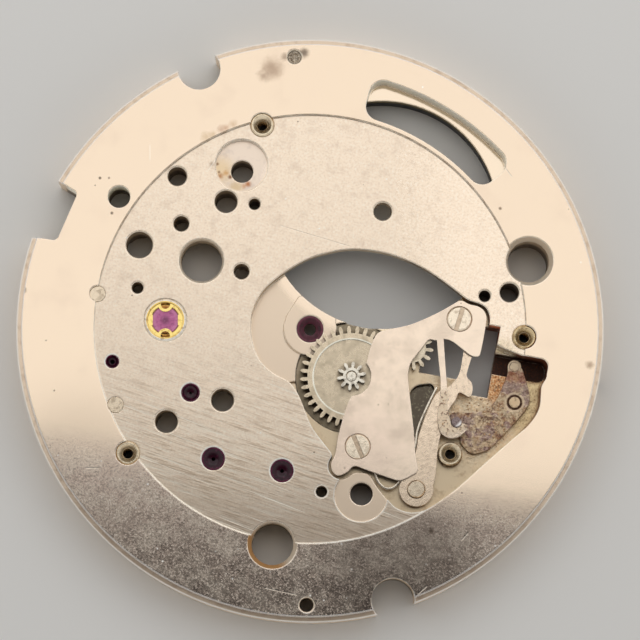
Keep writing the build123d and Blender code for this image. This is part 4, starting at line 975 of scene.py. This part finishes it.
def cap_jewel_finish(centre):
    """The pink cap jewel: glassy, darker towards its middle."""
    finish = Finish("pink_ruby", (204, 104, 160), 0.06, metallic=0.0, edge=0.03)
    radius = finish.away(centre)
    finish.tint((120, 44, 88), finish.soft(radius, 0.34, 0.04), 0.85)
    finish.tint((232, 150, 196), finish.soft(radius, 0.4, 0.56), 0.5)
    finish.tint((110, 40, 40), finish.soft(radius, 0.6, 0.66), 0.9)
    depth = finish.noise(0.12, 3.0, 0.6)
    finish.tint((140, 56, 106), finish.soft(depth, 0.52, 0.68), 0.5)
    finish.tint((236, 160, 200), finish.soft(depth, 0.44, 0.3), 0.4)
    finish.lift(0.001, depth)
    finish.make_ruby(0.3)
    return finish.close()


def block_finish(centre):
    """The block of the shock setting: gilt inside, with a bright nickel rim."""
    finish = Finish("shock_block", (240, 204, 120), 0.16, edge=0.02)
    mottle = finish.noise(0.18, 3.0, 0.6, shift=1.0)
    finish.tint((150, 104, 48), finish.soft(mottle, 0.5, 0.72), 0.5)
    rim = finish.soft(finish.away(centre), 0.89, 0.93)
    finish.tint((238, 230, 216), rim)
    finish.tint((150, 128, 106), rim, finish.soft(mottle, 0.5, 0.7), 0.5)
    finish.roughen(0.26, finish.soft(mottle, 0.45, 0.7))
    finish.lift(0.001, mottle)
    wear_and_highlight_edges(finish, (255, 250, 236), 0.8, 0.1)
    return finish.close()


def wheel_finish(name, colour, centre, dish=0.0):
    """A nickel wheel with a fine turned grain and dirt spots, walls in painted shade, and a dish with
    painted shade and highlight.
    """
    finish = Finish(name, colour, 0.26, edge=0.02)
    radius = finish.away(centre)
    rings = finish.rings(centre, 0.07)
    mottle = finish.noise(0.35, 4.0, 0.6, shift=2.5)
    spots = finish.noise(0.12, 4.0, 0.7, shift=12.5)
    finish.tint((252, 238, 214), finish.soft(rings, 0.45, 0.7), 0.45)
    finish.tint((196, 180, 152), finish.soft(mottle, 0.46, 0.7), 0.6)
    finish.tint((150, 128, 98), finish.soft(spots, 0.56, 0.68), 0.45)
    if dish:
        # painted shade inside the dish
        finish.tint((214, 198, 172), finish.soft(radius, dish, dish - 0.06), 0.5)
        # painted highlight round the dish
        finish.tint((255, 250, 232), finish.band(radius, dish - 0.03, dish + 0.04, 0.02))
        # painted shade round the pinion
        finish.tint((150, 134, 112), finish.soft(radius, 0.8, 0.62), 0.6)
    finish.roughen(0.4, finish.soft(mottle, 0.4, 0.7))
    finish.lift(0.0014, rings)
    finish.lift(0.0012, mottle)
    # painted shade: the walls and teeth's flanks are darkened
    finish.tint((70, 54, 38), finish.upright(), 0.75)
    wear_and_highlight_edges(finish, (255, 248, 228), 0.8, 0.14)
    return finish.close()


def dress(material, *names):
    """Gives CAD nodes a finish."""
    for name in names:
        for slot in NODES[name].material_slots:
            slot.material = material


def dress_nodes(rust):
    """Gives every CAD node its finish."""
    dress(plate_finish(), "main_plate")
    dress(cover_finish(), "minute_works_cover")
    dress_steel()
    dress_wheels()
    dress(rust, "setting_lever", "setting_lever_stud")
    dress(pin_finish(middle("setting_lever_pin")), "setting_lever_pin")
    dress_nickel()
    dress_jewels()
    dress_shock_setting()


def dress_steel():
    """The screws, posts and springs."""
    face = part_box("cover_screw_lower")[1].z * PER_METRE
    screw = steel_finish("cover_screw_steel", (250, 234, 210), 0.16, (186, 158, 126), 0.4, face)
    dress(screw, *COVER_SCREWS)
    screw = steel_finish("foot_screw_steel", (214, 198, 176), 0.24, (140, 112, 84), 0.5)
    dress(screw, "dial_foot_screw_upper", "dial_foot_screw_lower")
    pivot = middle("setting_lever_screw")
    screw = turned_finish("lever_screw_steel", (226, 198, 160), 0.3, pivot, 0.05, (120, 84, 60), 0.6)
    dress(screw, "setting_lever_screw")
    post = turned_finish("yoke_post_steel", (238, 220, 194), 0.18, middle("yoke_post"), 0.06)
    dress(post, "yoke_post")
    bright = steel_finish("bright_steel", (236, 228, 212), 0.16, (120, 100, 82), 0.4)
    dress(bright, "minute_pinion", "minute_wheel_post", "setting_wheel_post", "yoke_spring")
    dress(steel_finish("yoke_steel", (248, 225, 198), 0.18, (226, 200, 172), 0.25), "yoke")


def dress_wheels():
    """The minute wheel, with its dish, and the setting wheel."""
    minute = middle("minute_wheel")
    nickel = wheel_finish("minute_wheel_nickel", (232, 213, 184), minute, MINUTE_DISH)
    dress(nickel, "minute_wheel")
    setting = middle("setting_wheel")
    dress(wheel_finish("setting_wheel_steel", (232, 216, 190), setting), "setting_wheel")


def dress_nickel():
    """The bushes, one of them browner, and the pins in the disc."""
    for name in NICKEL_BUSHES:
        dress(turned_finish(name + "_nickel", (232, 214, 184), 0.2, middle(name), 0.05), name)
    name = "calendar_bush_2"
    brown = (132, 94, 48)
    dress(turned_finish(name + "_nickel", (214, 190, 146), 0.22, middle(name), 0.05, brown, 0.65), name)
    pin = turned_finish("pin_nickel", (240, 221, 194), 0.22, AXIS, 0.08)
    dress(pin, "steady_pin_1", "steady_pin_2", "dial_foot_stub")


def dress_jewels():
    """The four small jewels and the larger one at the centre."""
    for name in JEWELS:
        radius = half_width(name)
        inner = radius * 0.88
        ruby = jewel_finish(name + "_ruby", (48, 10, 26), (110, 24, 66), middle(name), inner, radius)
        dress(ruby, name)
    name = "centre_wheel_jewel"
    dark = (28, 8, 16)
    ruby = jewel_finish("centre_wheel_ruby", (84, 32, 46), (126, 62, 80), middle(name), 0.54, 0.64, dark)
    dress(ruby, name)


def dress_shock_setting():
    """The balance's shock setting: two jewels, the block, the ring and the gilt spring."""
    shock = middle("balance_cap_jewel")
    dress(cap_jewel_finish(shock), "balance_cap_jewel")
    ruby = jewel_finish("balance_hole_ruby", (120, 30, 66), (190, 90, 130), shock, 0.3, 0.45)
    dress(ruby, "balance_hole_jewel")
    dress(block_finish(shock), "shock_setting_block")
    dress(gold_finish("shock_brass", (198, 150, 80), 0.22, (122, 80, 36)), "shock_setting_ring")
    dress(gold_finish("shock_gilt", (255, 226, 140), 0.12, (206, 160, 76)), "shock_spring")


# Pieces made here, in millimetres; settle() brings each down to the frame's metres

SMOOTH_ANGLE = math.radians(35)
POINT_MERGE = 0.001
FACING = 0.9


def hold(piece):
    """Makes a piece the only one selected."""
    bpy.ops.object.select_all(action="DESELECT")
    piece.select_set(True)
    bpy.context.view_layer.objects.active = piece


def apply_modifier(piece, kind, **settings):
    """Adds a modifier with these settings and applies it."""
    hold(piece)
    made = piece.modifiers.new(kind.lower(), kind)
    for name, value in settings.items():
        setattr(made, name, value)
    bpy.ops.object.modifier_apply(modifier=made.name)


def settle(piece, name, material, body=None):
    """Names a piece, gives it its finish and brings it to its place in metres."""
    hold(piece)
    piece.name = name
    piece.location *= MM
    piece.scale *= MM
    bpy.ops.object.transform_apply(location=True, rotation=True, scale=True)
    piece.data.materials.clear()
    piece.data.materials.append(material)
    bpy.ops.object.shade_smooth_by_angle(angle=SMOOTH_ANGLE)
    if body is not None:
        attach(piece, body)


SPRING_PATH_PX = ((437, 387), (427, 407), (417.5, 430), (414, 449), (402, 473), (398, 483), (389, 488.5),
                  (379.5, 483), (374.5, 467), (373, 456))
SPRING_WIDTH = 0.11
SPRING_INSET = 0.001
SPRING_EDGE = 0.025
SPRING_STEPS = 8
SPRING_HOLD_PX = (402, 478)


def make_yoke_spring():
    """The flat spring along the yoke: a strip on edge, with its corners rounded."""
    low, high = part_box("yoke_spring")
    low, high = low.z * PER_METRE, high.z * PER_METRE
    path = [place(pixel, high) for pixel in SPRING_PATH_PX]
    bpy.ops.curve.primitive_bezier_curve_add()
    strip = bpy.context.object
    strip.data.dimensions = "2D"
    strip.data.resolution_u = SPRING_STEPS
    spline = strip.data.splines[0]
    spline.bezier_points.add(len(path) - len(spline.bezier_points))
    for point, spot in zip(spline.bezier_points, path):
        point.co = (spot.x, spot.y, 0)
        point.handle_left_type = "AUTO"
        point.handle_right_type = "AUTO"
    strip.data.extrude = (high - low) / 2 - SPRING_INSET
    hold(strip)
    bpy.ops.object.convert(target="MESH")
    strip.location.z = (low + high) / 2
    apply_modifier(strip, "SOLIDIFY", thickness=SPRING_WIDTH, offset=0.0)
    apply_modifier(strip, "BEVEL", width=SPRING_EDGE, segments=3, limit_method="ANGLE")
    steel = steel_finish("spring_steel", (240, 228, 208), 0.16, (120, 92, 68), 0.45)
    settle(strip, "yoke_spring_strip", steel)
    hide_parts("yoke_spring")
    start = place(SPRING_HOLD_PX, high) * MM
    end = place(SPRING_PATH_PX[0], high) * MM
    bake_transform(strip)


STUB_SIDES = 40
STUB_COLLAR = 0.05
STUB_SLOPE = 0.06
STUB_DIP = 0.05
STUB_FOLDS = 0.035
STUB_CLEARANCE = 0.002
STUB_SEED = 5


def make_foot_stub():
    """The end of a dial foot, torn off a little below the ring."""
    low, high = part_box("dial_foot_stub")
    low, high = low * PER_METRE, high * PER_METRE
    centre = (low + high) / 2
    bpy.ops.mesh.primitive_cylinder_add(vertices=STUB_SIDES, radius=(high.x - low.x) / 2,
                                        depth=high.z - low.z, location=centre)
    stub = bpy.context.object
    hold(stub)
    bpy.ops.object.mode_set(mode="EDIT")
    select_facing(stub, PLUMB)
    bpy.ops.mesh.inset(thickness=STUB_COLLAR)
    bpy.ops.mesh.inset(thickness=STUB_SLOPE)
    bpy.ops.transform.translate(value=(0, 0, -STUB_DIP))
    bpy.ops.mesh.poke()
    bpy.ops.mesh.subdivide(number_cuts=3, smoothness=0.0)
    bpy.ops.transform.vertex_random(offset=STUB_FOLDS, normal=0.0, seed=STUB_SEED)
    bpy.ops.object.mode_set(mode="OBJECT")
    keep_under(stub, high.z - centre.z - STUB_CLEARANCE)
    metal = torn_finish(centre)
    settle(stub, "torn_dial_foot", metal, "plate")
    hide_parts("dial_foot_stub")


def select_facing(piece, way):
    """Selects the faces of a piece in edit mode that look one way."""
    bpy.ops.mesh.select_all(action="DESELECT")
    bpy.ops.object.mode_set(mode="OBJECT")
    for face in piece.data.polygons:
        face.select = face.normal.dot(way) > FACING
    bpy.ops.object.mode_set(mode="EDIT")
    bpy.ops.mesh.select_mode(type="FACE")


def keep_under(piece, level):
    """Presses down the points of a piece that stand over a level."""
    for point in piece.data.vertices:
        point.co.z = min(point.co.z, level)


def torn_finish(centre):
    """Crumpled bright metal with dirt round it."""
    finish = Finish("torn_nickel", (214, 200, 180), 0.22, edge=0.02)
    folds = finish.noise(0.1, 4.0, 0.7, shift=2.0)
    finish.tint((122, 96, 74), finish.soft(folds, 0.48, 0.66), 0.8)
    finish.tint((255, 250, 240), finish.soft(folds, 0.42, 0.3), 0.7)
    finish.tint((78, 58, 44), finish.soft(finish.away(centre), 0.24, 0.32), 0.7)
    finish.roughen(0.4, finish.soft(folds, 0.4, 0.7))
    finish.lift(0.03, folds)
    return finish.close()


THREADS = {
    # the bush, the turns of its thread
    "calendar_bush_1": 9,
    "calendar_bush_2": 9,
    "calendar_bush_3": 9,
    "works_bush": 5,
}
THREAD_PITCH = 0.14
THREAD_RIDGE = 0.045
THREAD_START = 0.24
THREAD_STEPS = 22
BUSH_BORE = 0.275


def make_threads():
    """The ridge of the thread in each tapped bush."""
    for name, turns in THREADS.items():
        centre = middle(name)
        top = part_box(name)[1].z * PER_METRE - THREAD_START
        ridge = wind_ridge(centre, top - turns * THREAD_PITCH, turns)
        metal = turned_finish(name + "_thread", (196, 172, 136), 0.24, centre, 0.05, (96, 70, 46), 0.6)
        settle(ridge, name + "_ridge", metal, "plate")
    bpy.context.scene.cursor.location = AXIS


def wind_ridge(centre, start, turns):
    """A small triangle wound up a bore from its start."""
    profile = (centre.x + BUSH_BORE + THREAD_RIDGE / 4, centre.y, start)
    turned = (math.pi / 2, -math.pi / 2, 0)
    bpy.ops.mesh.primitive_circle_add(vertices=3, radius=THREAD_RIDGE, location=profile, rotation=turned)
    ridge = bpy.context.object
    hold(ridge)
    bpy.ops.object.transform_apply(location=False, rotation=True, scale=True)
    bpy.context.scene.cursor.location = (centre.x, centre.y, start)
    bpy.ops.object.origin_set(type="ORIGIN_CURSOR")
    apply_modifier(ridge, "SCREW", angle=math.tau, screw_offset=THREAD_PITCH, iterations=turns,
                   steps=THREAD_STEPS, render_steps=THREAD_STEPS)
    bpy.ops.object.mode_set(mode="EDIT")
    bpy.ops.mesh.select_all(action="SELECT")
    bpy.ops.mesh.remove_doubles(threshold=POINT_MERGE)
    bpy.ops.mesh.fill_holes(sides=3)
    bpy.ops.mesh.select_all(action="SELECT")
    bpy.ops.mesh.normals_make_consistent(inside=False)
    bpy.ops.object.mode_set(mode="OBJECT")
    return ridge


LEVER_VOXEL = 0.03
LEVER_OCTAVES = 3
LEVER_TEXTURES = (
    # name, size, depth
    ("rust_crust", 0.34, 0.05),
    ("rust_grain", 0.11, 0.025),
)


def make_corroded_lever(rust):
    """The setting lever, eaten by rust: its own shape with a pitted, crusted skin."""
    lever = bpy.data.objects.new("corroded_lever", NODES["setting_lever"].data.copy())
    bpy.context.scene.collection.objects.link(lever)
    hold(lever)
    lever.scale = (PER_METRE,) * 3
    bpy.ops.object.transform_apply(location=False, rotation=False, scale=True)
    bpy.ops.object.mode_set(mode="EDIT")
    bpy.ops.mesh.select_all(action="SELECT")
    bpy.ops.mesh.remove_doubles(threshold=POINT_MERGE)
    bpy.ops.object.mode_set(mode="OBJECT")
    apply_modifier(lever, "REMESH", mode="VOXEL", voxel_size=LEVER_VOXEL)
    for label, size, depth in LEVER_TEXTURES:
        crust = bpy.data.textures.new(label, "CLOUDS")
        crust.noise_scale = size
        crust.noise_depth = LEVER_OCTAVES
        apply_modifier(lever, "DISPLACE", texture=crust, texture_coords="GLOBAL", strength=depth,
                       mid_level=0.5)
    settle(lever, "corroded_setting_lever", rust, "setting_lever")
    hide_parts("setting_lever")


LUG_OFFSET = 0.76
LUG_RADIUS = 0.285
LUG_LIMIT = 0.68
LUG_THICKNESS = 0.04
LUG_EDGE = 0.01
LUG_SIDES = 48


def make_shock_lugs():
    """The two brown-gold lugs of the shock setting that lie under the spring's arches."""
    shock = middle("balance_cap_jewel")
    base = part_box("balance_cap_jewel")[1].z * PER_METRE
    metal = gold_finish("shock_lug_brass", (176, 118, 62), 0.24, (104, 60, 28))
    for name, side in (("shock_lug_upper", 1), ("shock_lug_lower", -1)):
        offset = PICTURE_UP * LUG_OFFSET * side
        centre = Vector((shock.x, shock.y, base)) + offset
        bpy.ops.object.select_all(action="DESELECT")
        bpy.ops.mesh.primitive_cylinder_add(vertices=LUG_SIDES, radius=LUG_RADIUS, depth=LUG_THICKNESS,
                                            location=centre)
        lug = bpy.context.object
        hold(lug)
        for point in lug.data.vertices:
            flat = Vector((point.co.x, point.co.y, 0)) + offset
            if flat.length > LUG_LIMIT:
                point.co += flat.normalized() * (LUG_LIMIT - flat.length)
        apply_modifier(lug, "BEVEL", width=LUG_EDGE, segments=2, limit_method="ANGLE")
        settle(lug, name, metal, "plate")


CRUMB_SPREAD = 1.6
CRUMB_ROUGHNESS = 0.45
CRUMB_WIDTHS = (0.7, 1.2)
CRUMB_HEIGHT = 0.6
CRUMB_RISE = 0.2
CRUMB_SEED = 40
GRAIN_SEED = 3
PIN_CLEARANCE = 0.04
CRUMB_SPOTS = (
    # name, body, level, how many, pixels between which the crumbs lie, sizes
    ("works_floor_crumbs", "plate", 1.1, 16, (466, 398), (490, 411), (0.02, 0.05)),
    ("shelf_crumbs", "plate", 1.1, 14, (494, 378), (501, 392), (0.02, 0.05)),
    ("detent_crumbs", "plate", 1.98, 18, (441, 398), (450, 425), (0.02, 0.05)),
    ("lever_crumbs", "setting_lever", 1.42, 34, (480, 404), (506, 440), (0.02, 0.06)),
)


def meets_pin(spot, size):
    """Whether a crumb would lie where the lever's pin passes."""
    axis = middle("setting_lever_screw")
    orbit = (middle("setting_lever_pin") - axis).to_2d().length
    reach = half_width("setting_lever_pin") + size * CRUMB_SPREAD + PIN_CLEARANCE
    return abs((spot - axis).to_2d().length - orbit) < reach


def rough_grain():
    """One grain with an uneven surface."""
    bpy.ops.mesh.primitive_ico_sphere_add(subdivisions=2, radius=1.0)
    grain = bpy.context.object
    hold(grain)
    bpy.ops.object.mode_set(mode="EDIT")
    bpy.ops.mesh.select_all(action="SELECT")
    bpy.ops.transform.vertex_random(offset=CRUMB_ROUGHNESS, normal=0.0, seed=GRAIN_SEED)
    bpy.ops.object.mode_set(mode="OBJECT")
    return grain


def scatter_grain(grain, name, level, count, first, last, sizes, chance):
    """Copies of a grain between two pixels, except where the lever's pin passes over the detent."""
    copies = []
    for index in range(count):
        pixel = (chance.uniform(first[0], last[0]), chance.uniform(first[1], last[1]))
        size = chance.uniform(*sizes)
        width = size * chance.uniform(*CRUMB_WIDTHS)
        turn = chance.uniform(0, math.tau)
        spot = place(pixel, level)
        if name == "detent_crumbs" and meets_pin(spot, size):
            continue
        copy = bpy.data.objects.new(name + str(index), grain.data.copy())
        copy.location = spot + Vector((0, 0, size * CRUMB_RISE))
        copy.scale = (size, width, size * CRUMB_HEIGHT)
        copy.rotation_euler = (0, 0, turn)
        bpy.context.scene.collection.objects.link(copy)
        copies.append(copy)
    return copies


def make_crumbs(rust):
    """Crumbs of rust: one rough grain, copied in many sizes and scattered where they lie."""
    grain = rough_grain()
    for number, (name, body, *where) in enumerate(CRUMB_SPOTS):
        copies = scatter_grain(grain, name, *where, random.Random(CRUMB_SEED + number))
        bpy.ops.object.select_all(action="DESELECT")
        for copy in copies:
            copy.select_set(True)
        bpy.context.view_layer.objects.active = copies[0]
        bpy.ops.object.join()
        bpy.ops.object.transform_apply(location=True, rotation=True, scale=True)
        settle(copies[0], name, rust, body)
    bpy.data.objects.remove(grain)


def crumb_finish():
    """Rust crumbs, from tan to dark brown."""
    finish = Finish("rust_crumbs", (210, 172, 132), 0.6, metallic=0.2, edge=0.01)
    grit = finish.noise(0.12, 4.0, 0.7)
    finish.tint((122, 74, 44), finish.soft(grit, 0.5, 0.62), 0.8)
    finish.tint((228, 198, 148), finish.soft(grit, 0.42, 0.32), 0.8)
    finish.lift(0.01, grit)
    return finish.close()


# Camera, lamp, room and floor

def add_camera():
    """The photograph's camera: it leans a little, and its picture is shifted to the plate's place."""
    data = bpy.data.cameras.new("camera")
    data.sensor_width = SENSOR
    data.lens = SENSOR * CAMERA_DISTANCE / (PICTURE_SIZE * MM_PER_PIXEL)
    data.shift_x = 0.5 - CENTRE_PX[0] / PICTURE_SIZE
    data.shift_y = CENTRE_PX[1] / PICTURE_SIZE - 0.5
    data.clip_start = CLIP_START
    camera = bpy.data.objects.new("camera", data)
    bpy.context.scene.collection.objects.link(camera)
    back = PLUMB * math.cos(CAMERA_LEAN) - PICTURE_UP * math.sin(CAMERA_LEAN)
    across = back.cross(PICTURE_RIGHT)
    camera.matrix_world = Matrix((PICTURE_RIGHT, across, back)).transposed().to_4x4()
    camera.location = back * CAMERA_DISTANCE * MM
    bpy.context.scene.camera = camera


def add_lamp():
    """One large soft lamp over the upper part of the picture."""
    data = bpy.data.lights.new("lamp", "AREA")
    data.shape = "RECTANGLE"
    data.size = LAMP_LENGTH * MM
    data.size_y = LAMP_DEPTH * MM
    data.energy = math.pi * data.size * data.size_y * LAMP_RADIANCE
    lamp = bpy.data.objects.new("lamp", data)
    bpy.context.scene.collection.objects.link(lamp)
    right = Matrix.Rotation(LAMP_TURN, 3, "Z") @ PICTURE_RIGHT
    up = Matrix.Rotation(LAMP_TURN, 3, "Z") @ PICTURE_UP
    lamp.matrix_world = Matrix((right, up, PLUMB)).transposed().to_4x4()
    lamp.location = (up * (LAMP_NEAR_EDGE + LAMP_DEPTH / 2) + PLUMB * LAMP_HEIGHT) * MM


def light_world():
    """A plain room: pale low down and darker overhead."""
    world = bpy.data.worlds.new("room")
    world.use_nodes = True
    bpy.context.scene.world = world
    nodes = world.node_tree.nodes
    links = world.node_tree.links
    parts = nodes.new("ShaderNodeSeparateXYZ")
    links.new(nodes.new("ShaderNodeTexCoord").outputs["Generated"], parts.inputs[0])
    fade = nodes.new("ShaderNodeMapRange")
    fade.interpolation_type = "SMOOTHSTEP"
    ends = {"From Min": SKY_BAND[0], "From Max": SKY_BAND[1], "To Min": SKY_LOW, "To Max": SKY_HIGH}
    for name, value in ends.items():
        fade.inputs[name].default_value = value
    links.new(parts.outputs[2], fade.inputs["Value"])
    links.new(fade.outputs[0], nodes["Background"].inputs["Strength"])
    nodes["Background"].inputs["Color"].default_value = (1.0, 1.0, 1.0, 1.0)


def add_floor():
    """The wide pale floor that the plate lies on."""
    bpy.ops.mesh.primitive_plane_add(size=FLOOR_SIZE * MM)
    floor = bpy.context.object
    floor.name = "floor"
    material = bpy.data.materials.new("pale_floor")
    material.use_nodes = True
    shader = material.node_tree.nodes["Principled BSDF"]
    shader.inputs["Base Color"].default_value = paint(*FLOOR_COLOUR)
    shader.inputs["Roughness"].default_value = FLOOR_ROUGHNESS
    shader.inputs["Specular IOR Level"].default_value = FLOOR_GLOSS
    floor.data.materials.append(material)


bpy.context.scene.view_settings.view_transform = "Standard"
bpy.ops.object.select_all(action="DESELECT")
add_camera()
add_lamp()
light_world()
add_floor()
rust_brown = rust_finish()
dress_nodes(rust_brown)
make_yoke_spring()
make_foot_stub()
make_threads()
make_shock_lugs()
make_corroded_lever(rust_brown)
make_crumbs(crumb_finish())
